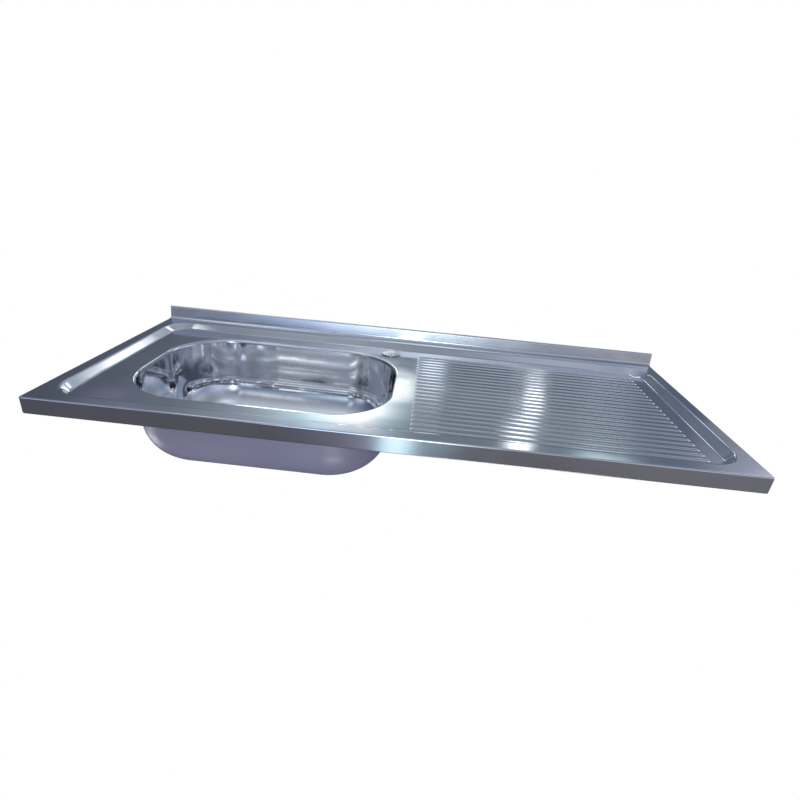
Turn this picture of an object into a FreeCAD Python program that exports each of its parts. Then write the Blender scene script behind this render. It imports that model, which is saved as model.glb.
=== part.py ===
import FreeCAD, Part
import math
import os

import Sketcher

# Kitchen sink with one bowl and a ribbed drainer, pressed from stainless sheet.
# Millimetres, +X along the drainer, +Y to the wall, +Z up.
# The origin is on the underside of the front seat flange, halfway along the sink.

doc = FreeCAD.newDocument("kitchen_sink")

# Driving sizes

DRIVING_SIZES = {
    # Deck
    "top_length": 1200,
    "top_depth": 500,
    "rim_height": 30,
    "sheet_gauge": 0.8,
    "edge_radius": 2.5,
    "plan_corner_radius": 4,
    "flange_width": 15,
    "side_rim": 22,
    "front_rim": 24,
    "back_rim": 26,
    "side_ramp": 25,
    "front_ramp": 15,
    "back_ramp": 30,
    "pan_depth": 9,
    "crest_front_corner": 60,
    "crest_back_corner": 58,
    "foot_front_corner": 26,
    "foot_back_corner": 30,
    # Drainer ribs
    "rib_count": 22,
    "rib_pitch": 17.2,
    "rib_first": 52,
    "rib_start": 633,
    "rib_end_from_right": 72,
    "rib_width": 9,
    "rib_height": 1.8,
    # Upstand
    "upstand_height": 28,
    "upstand_lean": 3,
    "cove_radius": 6,
    "cove_lap": 10,
    "lip_depth": 8,
    "lip_hook": 8,
    "lip_bend": 3.4,
    # Bowl
    "mouth_length": 487,
    "mouth_from_front": 74,
    "mouth_from_back": 100,
    "mouth_corner": 117,
    "mouth_roll": 6,
    "mouth_drop": 8,
    "bowl_from_left": 346,
    "bowl_depth": 160,
    "bowl_draft_angle": 1,
    "bowl_floor_radius": 76,
    "recess_radius": 60,
    "recess_depth": 4,
    "waste_hole_radius": 43,
    "coat_thickness": 1,
    "coat_gap": 0.2,
    "coat_margin": 8,
    "coat_hole_radius": 64,
    # Tap hole and its cover
    "tap_from_left": 569,
    "tap_from_back": 82,
    "tap_hole_radius": 17.5,
    "cover_radius": 22.5,
    "cover_height": 3.5,
    "cover_edge": 1,
    "cover_seal_inner": 18.5,
    "cover_seal_outer": 21.5,
    "cover_seal_thickness": 1,
    "cover_stud_radius": 3,
    "cover_stud_length": 32,
    "cover_plate_length": 54,
    "cover_plate_width": 14,
    "cover_plate_gauge": 2,
    # Edge channels, cross rails and pads
    "seat_gap": 0.3,
    "front_channel_depth": 12,
    "rear_channel_depth": 20,
    "channel_bend": 2.6,
    "rail_web": 20,
    "rail_foot": 10,
    "rail_height": 14,
    "rail_gauge": 1,
    "rail_from_front": 45,
    "rail_from_back": 83,
    "left_rail_from_left": 74,
    "drainer_rail_from_left": 640,
    "drainer_rail_from_right": 80,
    "drainer_rail_count": 3,
    "pad_margin": 12,
    "pad_thickness": 2,
    "pad_corner": 15,
    # Corner plates and swing clips
    "plate_leg": 70,
    "plate_reach": 105,
    "plate_chamfer": 25,
    "plate_gauge": 1.5,
    "clip_inset": 33,
    "clip_setback": 80,
    "clip_bolt_radius": 3,
    "clip_bolt_drop": 34,
    "clip_head_flats": 10,
    "clip_head_height": 4,
    "clip_hole_gap": 0.2,
    "clip_swing_gap": 0.08,
    "clip_drop": 18,
    "clip_arm_length": 46,
    "clip_arm_width": 16,
    "clip_arm_gauge": 3,
    "clip_tooth_height": 4,
    "clip_tooth_gauge": 3,
    "wing_hub_radius": 5.5,
    "wing_hub_height": 6,
    "wing_reach": 13,
    "wing_gauge": 2,
    "wing_height": 9,
    "thread_gap": 0.1,
    # Strainer waste
    "waste_flange_radius": 56,
    "waste_flange_gauge": 1.5,
    "waste_seal_inner": 44,
    "waste_seal_outer": 54,
    "waste_seal_thickness": 1.5,
    "dish_radius": 41.5,
    "dish_wall": 1.5,
    "dish_depth": 26,
    "spigot_radius": 23.9,
    "spigot_wall": 2.4,
    "spigot_length": 19.5,
    "hub_radius": 6,
    "hub_bore": 2.5,
    "spoke_width": 3,
    "spoke_count": 4,
    "washer_inner": 42,
    "washer_outer": 56,
    "washer_thickness": 3,
    "friction_ring_thickness": 1,
    "lock_nut_radius": 52,
    "lock_nut_height": 11,
    "lock_nut_lug": 5,
    "lock_nut_lug_width": 14,
    "lock_nut_lug_count": 6,
    # Strainer basket
    "basket_floor_radius": 33,
    "basket_rim_radius": 37,
    "basket_lip_radius": 39,
    "basket_height": 22,
    "basket_gauge": 0.8,
    "basket_seal_radius": 28,
    "basket_seal_thickness": 2.5,
    "basket_hole_radius": 2,
    "inner_hole_ring": 14,
    "inner_hole_count": 8,
    "outer_hole_ring": 24,
    "outer_hole_count": 14,
    "wall_slot_width": 2.4,
    "wall_slot_height": 12,
    "wall_slot_count": 18,
    "post_tip_radius": 2.42,
    "post_stem_radius": 3.4,
    "post_collar_radius": 6,
    "post_collar_height": 2,
    "post_tip_drop": 6,
    "knob_radius": 10,
    "knob_height": 5,
    "knob_rise": 27,
    # One overrun for every cutting tool
    "overrun": 5,
}

sheet = doc.addObject("Spreadsheet::Sheet", "Sizes")
for row, (alias, number) in enumerate(DRIVING_SIZES.items(), start=1):
    sheet.set(f"A{row}", alias)
    sheet.set(f"B{row}", str(number))
    sheet.setAlias(f"B{row}", alias)
doc.recompute()


class Size:
    """A number together with the spreadsheet formula that gives it."""

    def __init__(self, value, formula):
        self.value = float(value)
        self.formula = formula

    def __add__(self, other):
        other = as_size(other)
        return Size(self.value + other.value, f"({self.formula} + {other.formula})")

    def __sub__(self, other):
        other = as_size(other)
        return Size(self.value - other.value, f"({self.formula} - {other.formula})")

    def __mul__(self, other):
        other = as_size(other)
        return Size(self.value * other.value, f"({self.formula} * {other.formula})")

    def __truediv__(self, other):
        other = as_size(other)
        return Size(self.value / other.value, f"({self.formula} / {other.formula})")

    def __neg__(self):
        return Size(-self.value, f"(-{self.formula})")

    def __radd__(self, other):
        return as_size(other) + self

    def __rsub__(self, other):
        return as_size(other) - self

    def __rmul__(self, other):
        return as_size(other) * self


def as_size(number):
    """Give a plain number the same form as a size from the spreadsheet."""
    if isinstance(number, Size):
        return number
    return Size(number, f"({float(number):.12g})")


class SizeTable:
    """Reads each named size from the spreadsheet."""

    def __getattr__(self, alias):
        return Size(sheet.get(alias), f"Sizes.{alias}")


size = SizeTable()
ZERO = as_size(0)
HAIR = 1e-4


# Helpers that bind an object of the document to the spreadsheet

def bind(thing, path, value):
    """Tie one property of an object to the formula of a size."""
    thing.setExpression(path, as_size(value).formula)


def place(thing, x, y, z):
    """Put an object at a bound position."""
    bind(thing, "Placement.Base.x", x)
    bind(thing, "Placement.Base.y", y)
    bind(thing, "Placement.Base.z", z)


def new_body(name, x=ZERO, y=ZERO, z=ZERO):
    """Start a body whose own origin stands at the given place."""
    body = doc.addObject("PartDesign::Body", name)
    body.Label = name
    place(body, x, y, z)
    return body


def new_sketch(body, role, name, x=ZERO, y=ZERO, z=ZERO):
    """Attach a sketch to one of the body's origin planes, shifted in the plane's own axes."""
    sketch = body.newObject("Sketcher::SketchObject", name)
    plane = [feature for feature in body.Origin.OriginFeatures if feature.Role == role][0]
    sketch.AttachmentSupport = [(plane, "")]
    sketch.MapMode = "FlatFace"
    bind(sketch, "AttachmentOffset.Base.x", x)
    bind(sketch, "AttachmentOffset.Base.y", y)
    bind(sketch, "AttachmentOffset.Base.z", z)
    return sketch


def constrain(sketch, kind, *places, value=None):
    """Add one constraint, with its value tied to the spreadsheet if it has one."""
    if value is None:
        sketch.addConstraint(Sketcher.Constraint(kind, *places))
        return
    index = sketch.addConstraint(Sketcher.Constraint(kind, *places, value.value))
    sketch.setExpression(f"Constraints[{index}]", value.formula)


def pin_point(sketch, geometry, end, x, y):
    """Fix a point of the sketch by its distances from the sketch's origin."""
    constrain(sketch, "DistanceX", -1, 1, geometry, end, value=as_size(x))
    constrain(sketch, "DistanceY", -1, 1, geometry, end, value=as_size(y))


def arc_between(start, end, radius, turn):
    """Circle arc from start to end; turn is +1 counter-clockwise and -1 clockwise."""
    middle = (start + end) * 0.5
    chord = end - start
    half = chord.Length / 2
    rise = math.sqrt(max(radius * radius - half * half, 0))
    side = FreeCAD.Vector(-chord.y, chord.x, 0).normalize() * turn
    centre = middle + side * rise
    first, last = (start, end) if turn > 0 else (end, start)
    first_angle = math.atan2(first.y - centre.y, first.x - centre.x)
    last_angle = math.atan2(last.y - centre.y, last.x - centre.x)
    circle = Part.Circle(centre, FreeCAD.Vector(0, 0, 1), radius)
    return Part.ArcOfCircle(circle, first_angle, last_angle)


def outline(sketch, corners):
    """Closed outline through bound corners.

    A corner is (x, y), reached by a straight line from the corner before it, or
    (x, y, radius, turn), reached by an arc of that radius.
    """
    corners = [tuple(as_size(number) for number in corner[:3]) + corner[3:] for corner in corners]
    points = [FreeCAD.Vector(corner[0].value, corner[1].value, 0) for corner in corners]
    ends = []
    for index, corner in enumerate(corners):
        start, end = points[index - 1], points[index]
        if len(corner) == 2:
            geometry = sketch.addGeometry(Part.LineSegment(start, end))
            ends.append((geometry, 1, 2))
            continue
        geometry = sketch.addGeometry(arc_between(start, end, corner[2].value, corner[3]))
        ends.append((geometry, 1, 2) if corner[3] > 0 else (geometry, 2, 1))
    for index, (geometry, start, end) in enumerate(ends):
        following, following_start, _ = ends[(index + 1) % len(ends)]
        constrain(sketch, "Coincident", geometry, end, following, following_start)
        pin_point(sketch, geometry, end, corners[index][0], corners[index][1])
        if len(corners[index]) > 2:
            constrain(sketch, "Radius", geometry, value=corners[index][2])


def rounded_rectangle(sketch, left, right, front, back, corner, back_corner=None):
    """Rectangle with tangent corner arcs; the back pair may have a radius of its own."""
    back_corner = back_corner or corner
    x0, x1, y0, y1 = left.value, right.value, front.value, back.value
    near, far = corner.value, back_corner.value
    vector = FreeCAD.Vector
    lines = [
        Part.LineSegment(vector(x0 + near, y0, 0), vector(x1 - near, y0, 0)),
        Part.LineSegment(vector(x1, y0 + near, 0), vector(x1, y1 - far, 0)),
        Part.LineSegment(vector(x1 - far, y1, 0), vector(x0 + far, y1, 0)),
        Part.LineSegment(vector(x0, y1 - far, 0), vector(x0, y0 + near, 0)),
    ]
    arcs = [
        (x1 - near, y0 + near, near, 3 * math.pi / 2),
        (x1 - far, y1 - far, far, 0),
        (x0 + far, y1 - far, far, math.pi / 2),
        (x0 + near, y0 + near, near, math.pi),
    ]
    sketch.addGeometry(lines, False)
    for x, y, radius, angle in arcs:
        circle = Part.Circle(vector(x, y, 0), vector(0, 0, 1), radius)
        sketch.addGeometry(Part.ArcOfCircle(circle, angle, angle + math.pi / 2))
    for index in range(4):
        constrain(sketch, "Horizontal" if index % 2 == 0 else "Vertical", index)
        constrain(sketch, "Tangent", index, 2, 4 + index, 1)
        constrain(sketch, "Tangent", 4 + index, 2, (index + 1) % 4, 1)
    constrain(sketch, "DistanceY", -1, 1, 0, 1, value=front)
    constrain(sketch, "DistanceX", -1, 1, 1, 1, value=right)
    constrain(sketch, "DistanceY", -1, 1, 2, 1, value=back)
    constrain(sketch, "DistanceX", -1, 1, 3, 1, value=left)
    for index, radius in enumerate((corner, back_corner, back_corner, corner)):
        constrain(sketch, "Radius", 4 + index, value=radius)


def circle(sketch, x, y, radius):
    """Full circle about a bound centre."""
    x, y, radius = as_size(x), as_size(y), as_size(radius)
    centre = FreeCAD.Vector(x.value, y.value, 0)
    geometry = sketch.addGeometry(Part.Circle(centre, FreeCAD.Vector(0, 0, 1), radius.value))
    pin_point(sketch, geometry, 3, x, y)
    constrain(sketch, "Radius", geometry, value=radius)


def finish_feature(body, feature):
    """Make the feature the body's tip and compute it."""
    body.Tip = feature
    doc.recompute()
    return feature


def pad(body, sketch, length, down=False, midplane=False, draft=None):
    """Raise a sketch into a solid; draft narrows it along the way."""
    feature = body.newObject("PartDesign::Pad", sketch.Name + "_pad")
    feature.Profile = sketch
    feature.Reversed = down
    feature.Midplane = midplane
    bind(feature, "Length", length)
    if draft is not None:
        bind(feature, "TaperAngle", -draft)
    return finish_feature(body, feature)


def pocket_through(body, sketch):
    """Cut a sketch through everything on both sides of its plane."""
    feature = body.newObject("PartDesign::Pocket", sketch.Name + "_pocket")
    feature.Profile = sketch
    feature.Type = "ThroughAll"
    feature.Midplane = True
    return finish_feature(body, feature)


def revolve(body, sketch, axis="V_Axis"):
    """Turn a sketch a full turn about one of its own axes."""
    feature = body.newObject("PartDesign::Revolution", sketch.Name + "_turned")
    feature.Profile = sketch
    feature.ReferenceAxis = (sketch, [axis])
    feature.Angle = 360
    return finish_feature(body, feature)


def round_edges(body, base, radius, chosen):
    """Fillet the edges whose middle the chosen test accepts."""
    names = [
        f"Edge{index}"
        for index, edge in enumerate(base.Shape.Edges, start=1)
        if chosen(edge.CenterOfMass)
    ]
    feature = body.newObject("PartDesign::Fillet", base.Name + "_rounded")
    feature.Base = (base, names)
    bind(feature, "Radius", radius)
    return finish_feature(body, feature)


def polar_copies(body, original, count):
    """Repeat a feature evenly about the body's own vertical axis."""
    feature = body.newObject("PartDesign::PolarPattern", original.Name + "_ring")
    feature.Originals = [original]
    feature.Axis = (original.Profile[0], ["N_Axis"])
    feature.Angle = 360
    bind(feature, "Occurrences", count)
    return finish_feature(body, feature)


def boolean(kind, name, parts):
    """Join, cut or intersect whole objects."""
    feature = doc.addObject(f"Part::{kind}", name)
    if kind in ("MultiFuse", "MultiCommon"):
        feature.Shapes = parts
    else:
        feature.Base, feature.Tool = parts
    feature.Label = name
    doc.recompute()
    return feature


def box(name, left, right, front, back, bottom, top):
    """Box between bound limits."""
    block = doc.addObject("Part::Box", name)
    bind(block, "Length", right - left)
    bind(block, "Width", back - front)
    bind(block, "Height", top - bottom)
    place(block, left, front, bottom)
    return block


def close_to(value, target):
    """Tell whether a coordinate lies on a size, within a hair."""
    return abs(value - target.value) < HAIR


# Places that several sub-parts share

half_length = size.top_length / 2
front = -size.flange_width / 2
back = front + size.top_depth
deck_back = back - size.cove_radius
rim = size.rim_height
rim_under = rim - size.sheet_gauge
pan = rim - size.pan_depth
pan_under = pan - size.sheet_gauge
mouth_front = front + size.mouth_from_front
mouth_depth = back - size.mouth_from_back - mouth_front
bowl_x = size.bowl_from_left - half_length
bowl_y = mouth_front + mouth_depth / 2
lip_bottom = pan - size.mouth_drop
bowl_floor = pan - size.bowl_depth
recess_floor = bowl_floor - size.recess_depth
tap_x = size.tap_from_left - half_length
tap_y = back - size.tap_from_back
inner_side = half_length - size.sheet_gauge
inner_front = front + size.sheet_gauge
rear_web = deck_back - size.seat_gap


# Deck pressing: rim, ramps, pan, ribs, apron, seat flange, turned-down lip and upstand

RAMP_STATION_SHARES = (0, 0.06, 0.12, 0.18, 0.82, 0.88, 0.94, 1)
RAMP_ROUND_SHARE = 0.18


def ramp_drop_share(station_share):
    """Share of the pan's depth reached at a share of the ramp: rounded, straight, rounded."""
    bend = station_share ** 2 / (2 * RAMP_ROUND_SHARE)
    if station_share > 1 - RAMP_ROUND_SHARE:
        return 1 - (1 - station_share) ** 2 / (2 * RAMP_ROUND_SHARE) / (1 - RAMP_ROUND_SHARE)
    if station_share > RAMP_ROUND_SHARE:
        bend = station_share - RAMP_ROUND_SHARE / 2
    return bend / (1 - RAMP_ROUND_SHARE)


def apron_block(name, inset, bottom, top, back_end):
    """Block of the sink's plan, drawn in by inset, with its two front corners rounded."""
    body = new_body(name)
    sketch = new_sketch(body, "XY_Plane", name + "_plan", z=bottom)
    side = half_length - inset
    near = front + inset
    outline(sketch, [(side, near), (side, back_end), (-side, back_end), (-side, near)])
    block = pad(body, sketch, top - bottom)
    corners = round_edges(
        body, block, size.plan_corner_radius - inset,
        lambda middle: close_to(middle.y, near) and close_to(abs(middle.x), side))
    return body, corners


def cut_recess(body):
    """Sink the pan into the block with a ruled loft down the rounded ramp."""
    sections = []
    for number, share in enumerate(RAMP_STATION_SHARES):
        drop = size.pan_depth * ramp_drop_share(share)
        sketch = new_sketch(body, "XY_Plane", f"ramp_station_{number}", z=rim - drop)
        side = half_length - size.side_rim - size.side_ramp * share
        near = front + size.front_rim + size.front_ramp * share
        far = back - size.back_rim - size.back_ramp * share
        near_corner = size.crest_front_corner * (1 - share) + size.foot_front_corner * share
        far_corner = size.crest_back_corner * (1 - share) + size.foot_back_corner * share
        rounded_rectangle(sketch, -side, side, near, far, near_corner, far_corner)
        sections.append(sketch)
    doc.recompute()
    recess = body.newObject("PartDesign::SubtractiveLoft", "pan_recess")
    recess.Profile = sections[0]
    recess.Sections = sections[1:]
    recess.Ruled = True
    return finish_feature(body, recess)


def add_ribs(body):
    """Raise round-ended ribs: capsules that lie mostly below the pan's surface."""
    crown = (size.rib_width * size.rib_width / 4 + size.rib_height * size.rib_height) / (size.rib_height * 2)
    axis_height = pan + size.rib_height - crown
    first = front + size.rib_first
    left = size.rib_start + size.rib_width / 2 - half_length
    right = half_length - size.rib_end_from_right - size.rib_width / 2
    sketch = new_sketch(body, "XY_Plane", "rib_capsule", y=first, z=axis_height)
    outline(sketch, [
        (right + crown, ZERO),
        (right, crown, crown, 1),
        (left, crown),
        (left - crown, ZERO, crown, 1),
    ])
    rib = revolve(body, sketch, "H_Axis")
    row = body.newObject("PartDesign::LinearPattern", "rib_row")
    row.Originals = [rib]
    row.Direction = (sketch, ["V_Axis"])
    bind(row, "Occurrences", size.rib_count)
    bind(row, "Length", size.rib_pitch * (size.rib_count - 1))
    return finish_feature(body, row)


def cut_openings(body):
    """Punch the bowl's opening and the tap hole."""
    sketch = new_sketch(body, "XY_Plane", "mouth_opening")
    along = size.mouth_length / 2 + size.mouth_roll
    across = mouth_depth / 2 + size.mouth_roll
    rounded_rectangle(sketch, bowl_x - along, bowl_x + along, bowl_y - across, bowl_y + across,
                      size.mouth_corner + size.mouth_roll)
    pocket_through(body, sketch)
    sketch = new_sketch(body, "XY_Plane", "tap_opening")
    circle(sketch, tap_x, tap_y, size.tap_hole_radius)
    return pocket_through(body, sketch)


def mouth_lip():
    """Turned-down edge of the bowl's opening, swept round the mouth."""
    body = new_body("mouth_lip")
    path = new_sketch(body, "XY_Plane", "mouth_path", z=pan)
    along = size.mouth_length / 2
    across = mouth_depth / 2
    rounded_rectangle(path, bowl_x - along, bowl_x + along, bowl_y - across, bowl_y + across,
                      size.mouth_corner)
    section = new_sketch(body, "YZ_Plane", "lip_section", z=bowl_x - along + size.mouth_corner)
    inner = bowl_y - across
    outer = inner - size.mouth_roll
    gauge = size.sheet_gauge
    outline(section, [
        (outer, pan),
        (inner, pan - size.mouth_roll, size.mouth_roll, -1),
        (inner, lip_bottom),
        (inner - gauge, lip_bottom),
        (inner - gauge, pan - size.mouth_roll),
        (outer, pan - gauge, size.mouth_roll - gauge, 1),
    ])
    doc.recompute()
    sweep = body.newObject("PartDesign::AdditivePipe", "lip_sweep")
    sweep.Profile = section
    sweep.Spine = (path, [f"Edge{index}" for index in range(1, len(path.Shape.Edges) + 1)])
    sweep.Mode = "Frenet"
    finish_feature(body, sweep)
    return body


def upstand():
    """Folded upstand: a cove, a wall that leans back and a lip hooked over behind it."""
    body = new_body("upstand")
    sketch = new_sketch(body, "YZ_Plane", "upstand_section")
    gauge = size.sheet_gauge
    top = rim + size.upstand_height
    wall_top = back + size.upstand_lean
    lip_back = wall_top + size.lip_depth
    hook = top - size.lip_hook
    start = deck_back - size.cove_lap
    outline(sketch, [
        (start, rim_under),
        (back + gauge, rim_under),
        (wall_top + gauge, top - gauge),
        (lip_back - gauge, top - gauge),
        (lip_back - gauge, hook),
        (lip_back, hook),
        (lip_back, top),
        (wall_top, top),
        (back, rim),
        (start, rim),
    ])
    wall = pad(body, sketch, size.top_length, midplane=True)
    bends = [
        (size.cove_radius, [(back, rim)]),
        (size.cove_radius + gauge, [(back + gauge, rim_under)]),
        (size.lip_bend, [(wall_top, top), (lip_back, top)]),
        (size.lip_bend - gauge, [(wall_top + gauge, top - gauge), (lip_back - gauge, top - gauge)]),
    ]
    for radius, places in bends:
        wall = round_edges(body, wall, radius, lambda middle: any(
            close_to(middle.y, y) and close_to(middle.z, z) for y, z in places))
    return body


def sink_top():
    """The pressing is its outer form, less the same form one gauge lower inside the apron."""
    gauge = size.sheet_gauge
    form, block = apron_block("deck_form", ZERO, ZERO, rim, deck_back)
    round_edges(
        form, block, size.edge_radius,
        lambda middle: close_to(middle.z, rim) and not close_to(middle.y, deck_back))
    cut_recess(form)
    add_ribs(form)
    cut_openings(form)
    lowered = doc.addObject("Part::Compound", "lowered_form")
    lowered.Links = [form]
    place(lowered, ZERO, ZERO, -gauge)
    inside, _ = apron_block("apron_inside", gauge, gauge, rim + size.overrun, back + size.overrun)
    hollow = boolean("MultiCommon", "deck_hollow", [lowered, inside])
    side = half_length - size.flange_width
    under = box("flange_opening", -side, side, front + size.flange_width, back + size.overrun,
                -size.overrun, gauge)
    gap = box("open_back", -inner_side, inner_side, deck_back - gauge, back + size.overrun,
              -size.overrun, rim_under)
    deck = boolean("Cut", "deck_sheet", [form, boolean("MultiFuse", "deck_space", [hollow, under, gap])])
    return boolean("MultiFuse", "sink_top", [deck, mouth_lip(), upstand()])


# Bowl with its waste recess, and the coat sprayed on its outside

def bowl_form(name, grow):
    """Solid of the bowl's inner shape, grown outwards: drafted walls, rounded floor, recess."""
    body = new_body(name)
    sketch = new_sketch(body, "XY_Plane", name + "_mouth", z=lip_bottom)
    along = size.mouth_length / 2 + grow
    across = mouth_depth / 2 + grow
    rounded_rectangle(sketch, bowl_x - along, bowl_x + along, bowl_y - across, bowl_y + across,
                      size.mouth_corner + grow)
    floor = bowl_floor - grow
    walls = pad(body, sketch, lip_bottom - floor, down=True, draft=size.bowl_draft_angle)
    round_edges(body, walls, size.bowl_floor_radius + grow, lambda middle: close_to(middle.z, floor))
    sketch = new_sketch(body, "XY_Plane", name + "_recess", z=floor)
    circle(sketch, bowl_x, bowl_y, size.recess_radius + grow)
    pad(body, sketch, size.recess_depth, down=True)
    return body


def cylinder(name, x, y, bottom, top, radius):
    """Upright cylinder between bound heights."""
    rod = doc.addObject("Part::Cylinder", name)
    bind(rod, "Radius", radius)
    bind(rod, "Height", top - bottom)
    place(rod, x, y, bottom)
    return rod


def bowl():
    shell = boolean("Cut", "bowl_shell", [bowl_form("bowl_outside", size.sheet_gauge),
                                          bowl_form("bowl_inside", ZERO)])
    hole = cylinder("waste_hole", bowl_x, bowl_y, recess_floor - size.overrun,
                    bowl_floor, size.waste_hole_radius)
    return boolean("Cut", "bowl", [shell, hole])


def bowl_sound_coat():
    start = size.sheet_gauge + size.coat_gap
    shell = boolean("Cut", "coat_shell", [bowl_form("coat_outside", start + size.coat_thickness),
                                          bowl_form("coat_inside", start)])
    hole = cylinder("coat_hole", bowl_x, bowl_y, recess_floor - size.overrun * 2,
                    bowl_floor, size.coat_hole_radius)
    top = lip_bottom - size.coat_margin
    bare = box("bare_band", -half_length, half_length, front, back, top, pan)
    return boolean("Cut", "bowl_sound_coat", [shell, boolean("MultiFuse", "coat_cut", [hole, bare])])


# Tap hole cover, clamped through the deck

def turned(name, x, y, z, corners):
    """Body turned about its own vertical axis from (radius, height) corners."""
    body = new_body(name, x, y, z)
    sketch = new_sketch(body, "XZ_Plane", name + "_section")
    outline(sketch, corners)
    revolve(body, sketch)
    return body


def ring(name, x, y, z, inner, outer, thickness):
    """Flat ring that stands on height z."""
    return turned(name, x, y, z, [(inner, ZERO), (outer, ZERO), (outer, thickness), (inner, thickness)])


def wing_nut(body, name, bore):
    """Wing nut hanging from the body's origin, with two upright wings."""
    sketch = new_sketch(body, "XY_Plane", name + "_hub")
    circle(sketch, ZERO, ZERO, size.wing_hub_radius)
    circle(sketch, ZERO, ZERO, bore)
    pad(body, sketch, size.wing_hub_height, down=True)
    for side in (-1, 1):
        sketch = new_sketch(body, "XZ_Plane", f"{name}_wing_{'left' if side < 0 else 'right'}")
        root = (size.wing_hub_radius + bore) / 2 * side
        tip = size.wing_reach * side
        outline(sketch, [
            (root, -size.wing_hub_height),
            (root, -size.wing_hub_height / 2),
            (tip, -size.wing_hub_height / 2),
            (tip, -size.wing_height),
        ])
        pad(body, sketch, size.wing_gauge, midplane=True)
    return body


def cover_parts():
    """Domed cap with its stud, the seal under its edge, the clamp plate and the wing nut."""
    dome_rise = size.cover_height - size.cover_edge
    dome = (size.cover_radius * size.cover_radius + dome_rise * dome_rise) / (dome_rise * 2)
    cap = turned("tap_hole_cover", tap_x, tap_y, pan + size.cover_seal_thickness, [
        (size.cover_stud_radius, ZERO),
        (size.cover_radius, ZERO),
        (size.cover_radius, size.cover_edge),
        (ZERO, size.cover_height, dome, 1),
        (ZERO, -size.cover_stud_length),
        (size.cover_stud_radius, -size.cover_stud_length),
    ])
    seal = ring("cover_seal", tap_x, tap_y, pan, size.cover_seal_inner, size.cover_seal_outer,
                size.cover_seal_thickness)
    bore = size.cover_stud_radius + size.thread_gap
    plate = new_body("cover_clamp_plate", tap_x, tap_y, pan_under - size.cover_plate_gauge)
    sketch = new_sketch(plate, "XY_Plane", "clamp_plate_plan")
    along = size.cover_plate_length / 2
    across = size.cover_plate_width / 2
    outline(sketch, [(along, -across), (along, across), (-along, across), (-along, -across)])
    circle(sketch, ZERO, ZERO, bore)
    pad(plate, sketch, size.cover_plate_gauge)
    nut = new_body("cover_wing_nut", tap_x, tap_y, pan_under - size.cover_plate_gauge)
    wing_nut(nut, "cover_nut", bore)
    return [cap, seal, plate, nut]


# Edge channels, cross rails and sound pads under the deck

def edge_channel(name, web, depth, facing, bottom, top, length):
    """C channel along X: its web stands at y = web and its flanges reach towards facing."""
    body = new_body(name)
    gauge = size.sheet_gauge
    sketch = new_sketch(body, "YZ_Plane", name + "_section")
    tip = web + depth * facing
    inside = web + gauge * facing
    outline(sketch, [
        (web, bottom), (tip, bottom), (tip, bottom + gauge), (inside, bottom + gauge),
        (inside, top - gauge), (tip, top - gauge), (tip, top), (web, top),
    ])
    channel = pad(body, sketch, length, midplane=True)
    round_edges(body, channel, size.channel_bend,
                lambda middle: close_to(middle.y, web) and close_to(middle.z, top))
    return body


def edge_channels():
    free = size.plate_leg + size.sheet_gauge + size.seat_gap * 2
    front_channel = edge_channel(
        "front_edge_channel", inner_front + size.seat_gap, size.front_channel_depth, 1,
        size.sheet_gauge, rim_under - size.seat_gap, size.top_length - free * 2)
    rear_channel = edge_channel(
        "rear_edge_channel", rear_web, size.rear_channel_depth, -1,
        ZERO, rim_under - size.seat_gap, size.top_length - (size.flange_width + size.seat_gap) * 2)
    return [front_channel, rear_channel]


rail_front = front + size.rail_from_front
rail_back = back - size.rail_from_back
drainer_span = size.top_length - size.drainer_rail_from_left - size.drainer_rail_from_right
drainer_rail_pitch = drainer_span / (size.drainer_rail_count - 1)


def drainer_rail_x(number):
    """Middle of one of the rails under the drainer, counted from the bowl."""
    return size.drainer_rail_from_left + drainer_rail_pitch * number - half_length


def cross_rail(name, x):
    """Hat rail along Y, with its two feet welded under the pan."""
    body = new_body(name, x, (rail_front + rail_back) / 2, pan_under)
    sketch = new_sketch(body, "XZ_Plane", name + "_section")
    gauge = size.rail_gauge
    web = size.rail_web / 2
    foot = web + size.rail_foot
    low = -size.rail_height
    outline(sketch, [
        (foot, ZERO), (web - gauge, ZERO), (web - gauge, low + gauge), (gauge - web, low + gauge),
        (gauge - web, ZERO), (-foot, ZERO), (-foot, -gauge), (-web, -gauge),
        (-web, low), (web, low), (web, -gauge), (foot, -gauge),
    ])
    pad(body, sketch, rail_back - rail_front, midplane=True)
    return body


def cross_rails():
    rails = [cross_rail("cross_rail_left", size.left_rail_from_left - half_length)]
    for number in range(int(size.drainer_rail_count.value)):
        rails.append(cross_rail(f"cross_rail_drainer_{number + 1}", drainer_rail_x(number)))
    return rails


def drainer_pads():
    """One pad between each pair of rails under the drainer."""
    pads = []
    reach = size.rail_web / 2 + size.rail_foot + size.pad_margin
    for number in range(int(size.drainer_rail_count.value) - 1):
        body = new_body(f"drainer_pad_{number + 1}", z=pan_under - size.pad_thickness)
        sketch = new_sketch(body, "XY_Plane", f"drainer_pad_plan_{number + 1}")
        rounded_rectangle(sketch, drainer_rail_x(number) + reach, drainer_rail_x(number + 1) - reach,
                          rail_front + size.pad_margin, rail_back - size.pad_margin, size.pad_corner)
        pad(body, sketch, size.pad_thickness)
        pads.append(body)
    return pads


# Corner plates and the swing clips that grip the cabinet

CORNERS = {
    "front_left": (-1, 1),
    "front_right": (1, 1),
    "rear_left": (-1, -1),
    "rear_right": (1, -1),
}


def corner_place(side, facing):
    """Inside corner of the folded edges: facing is +1 at the front and -1 at the rear."""
    y = inner_front if facing > 0 else rear_web - size.sheet_gauge
    return inner_side * side, y


def clip_place(side, facing):
    """Axis of the clip's bolt at one corner."""
    x, y = corner_place(side, facing)
    return x - size.clip_inset * side, y + size.clip_setback * facing


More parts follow.
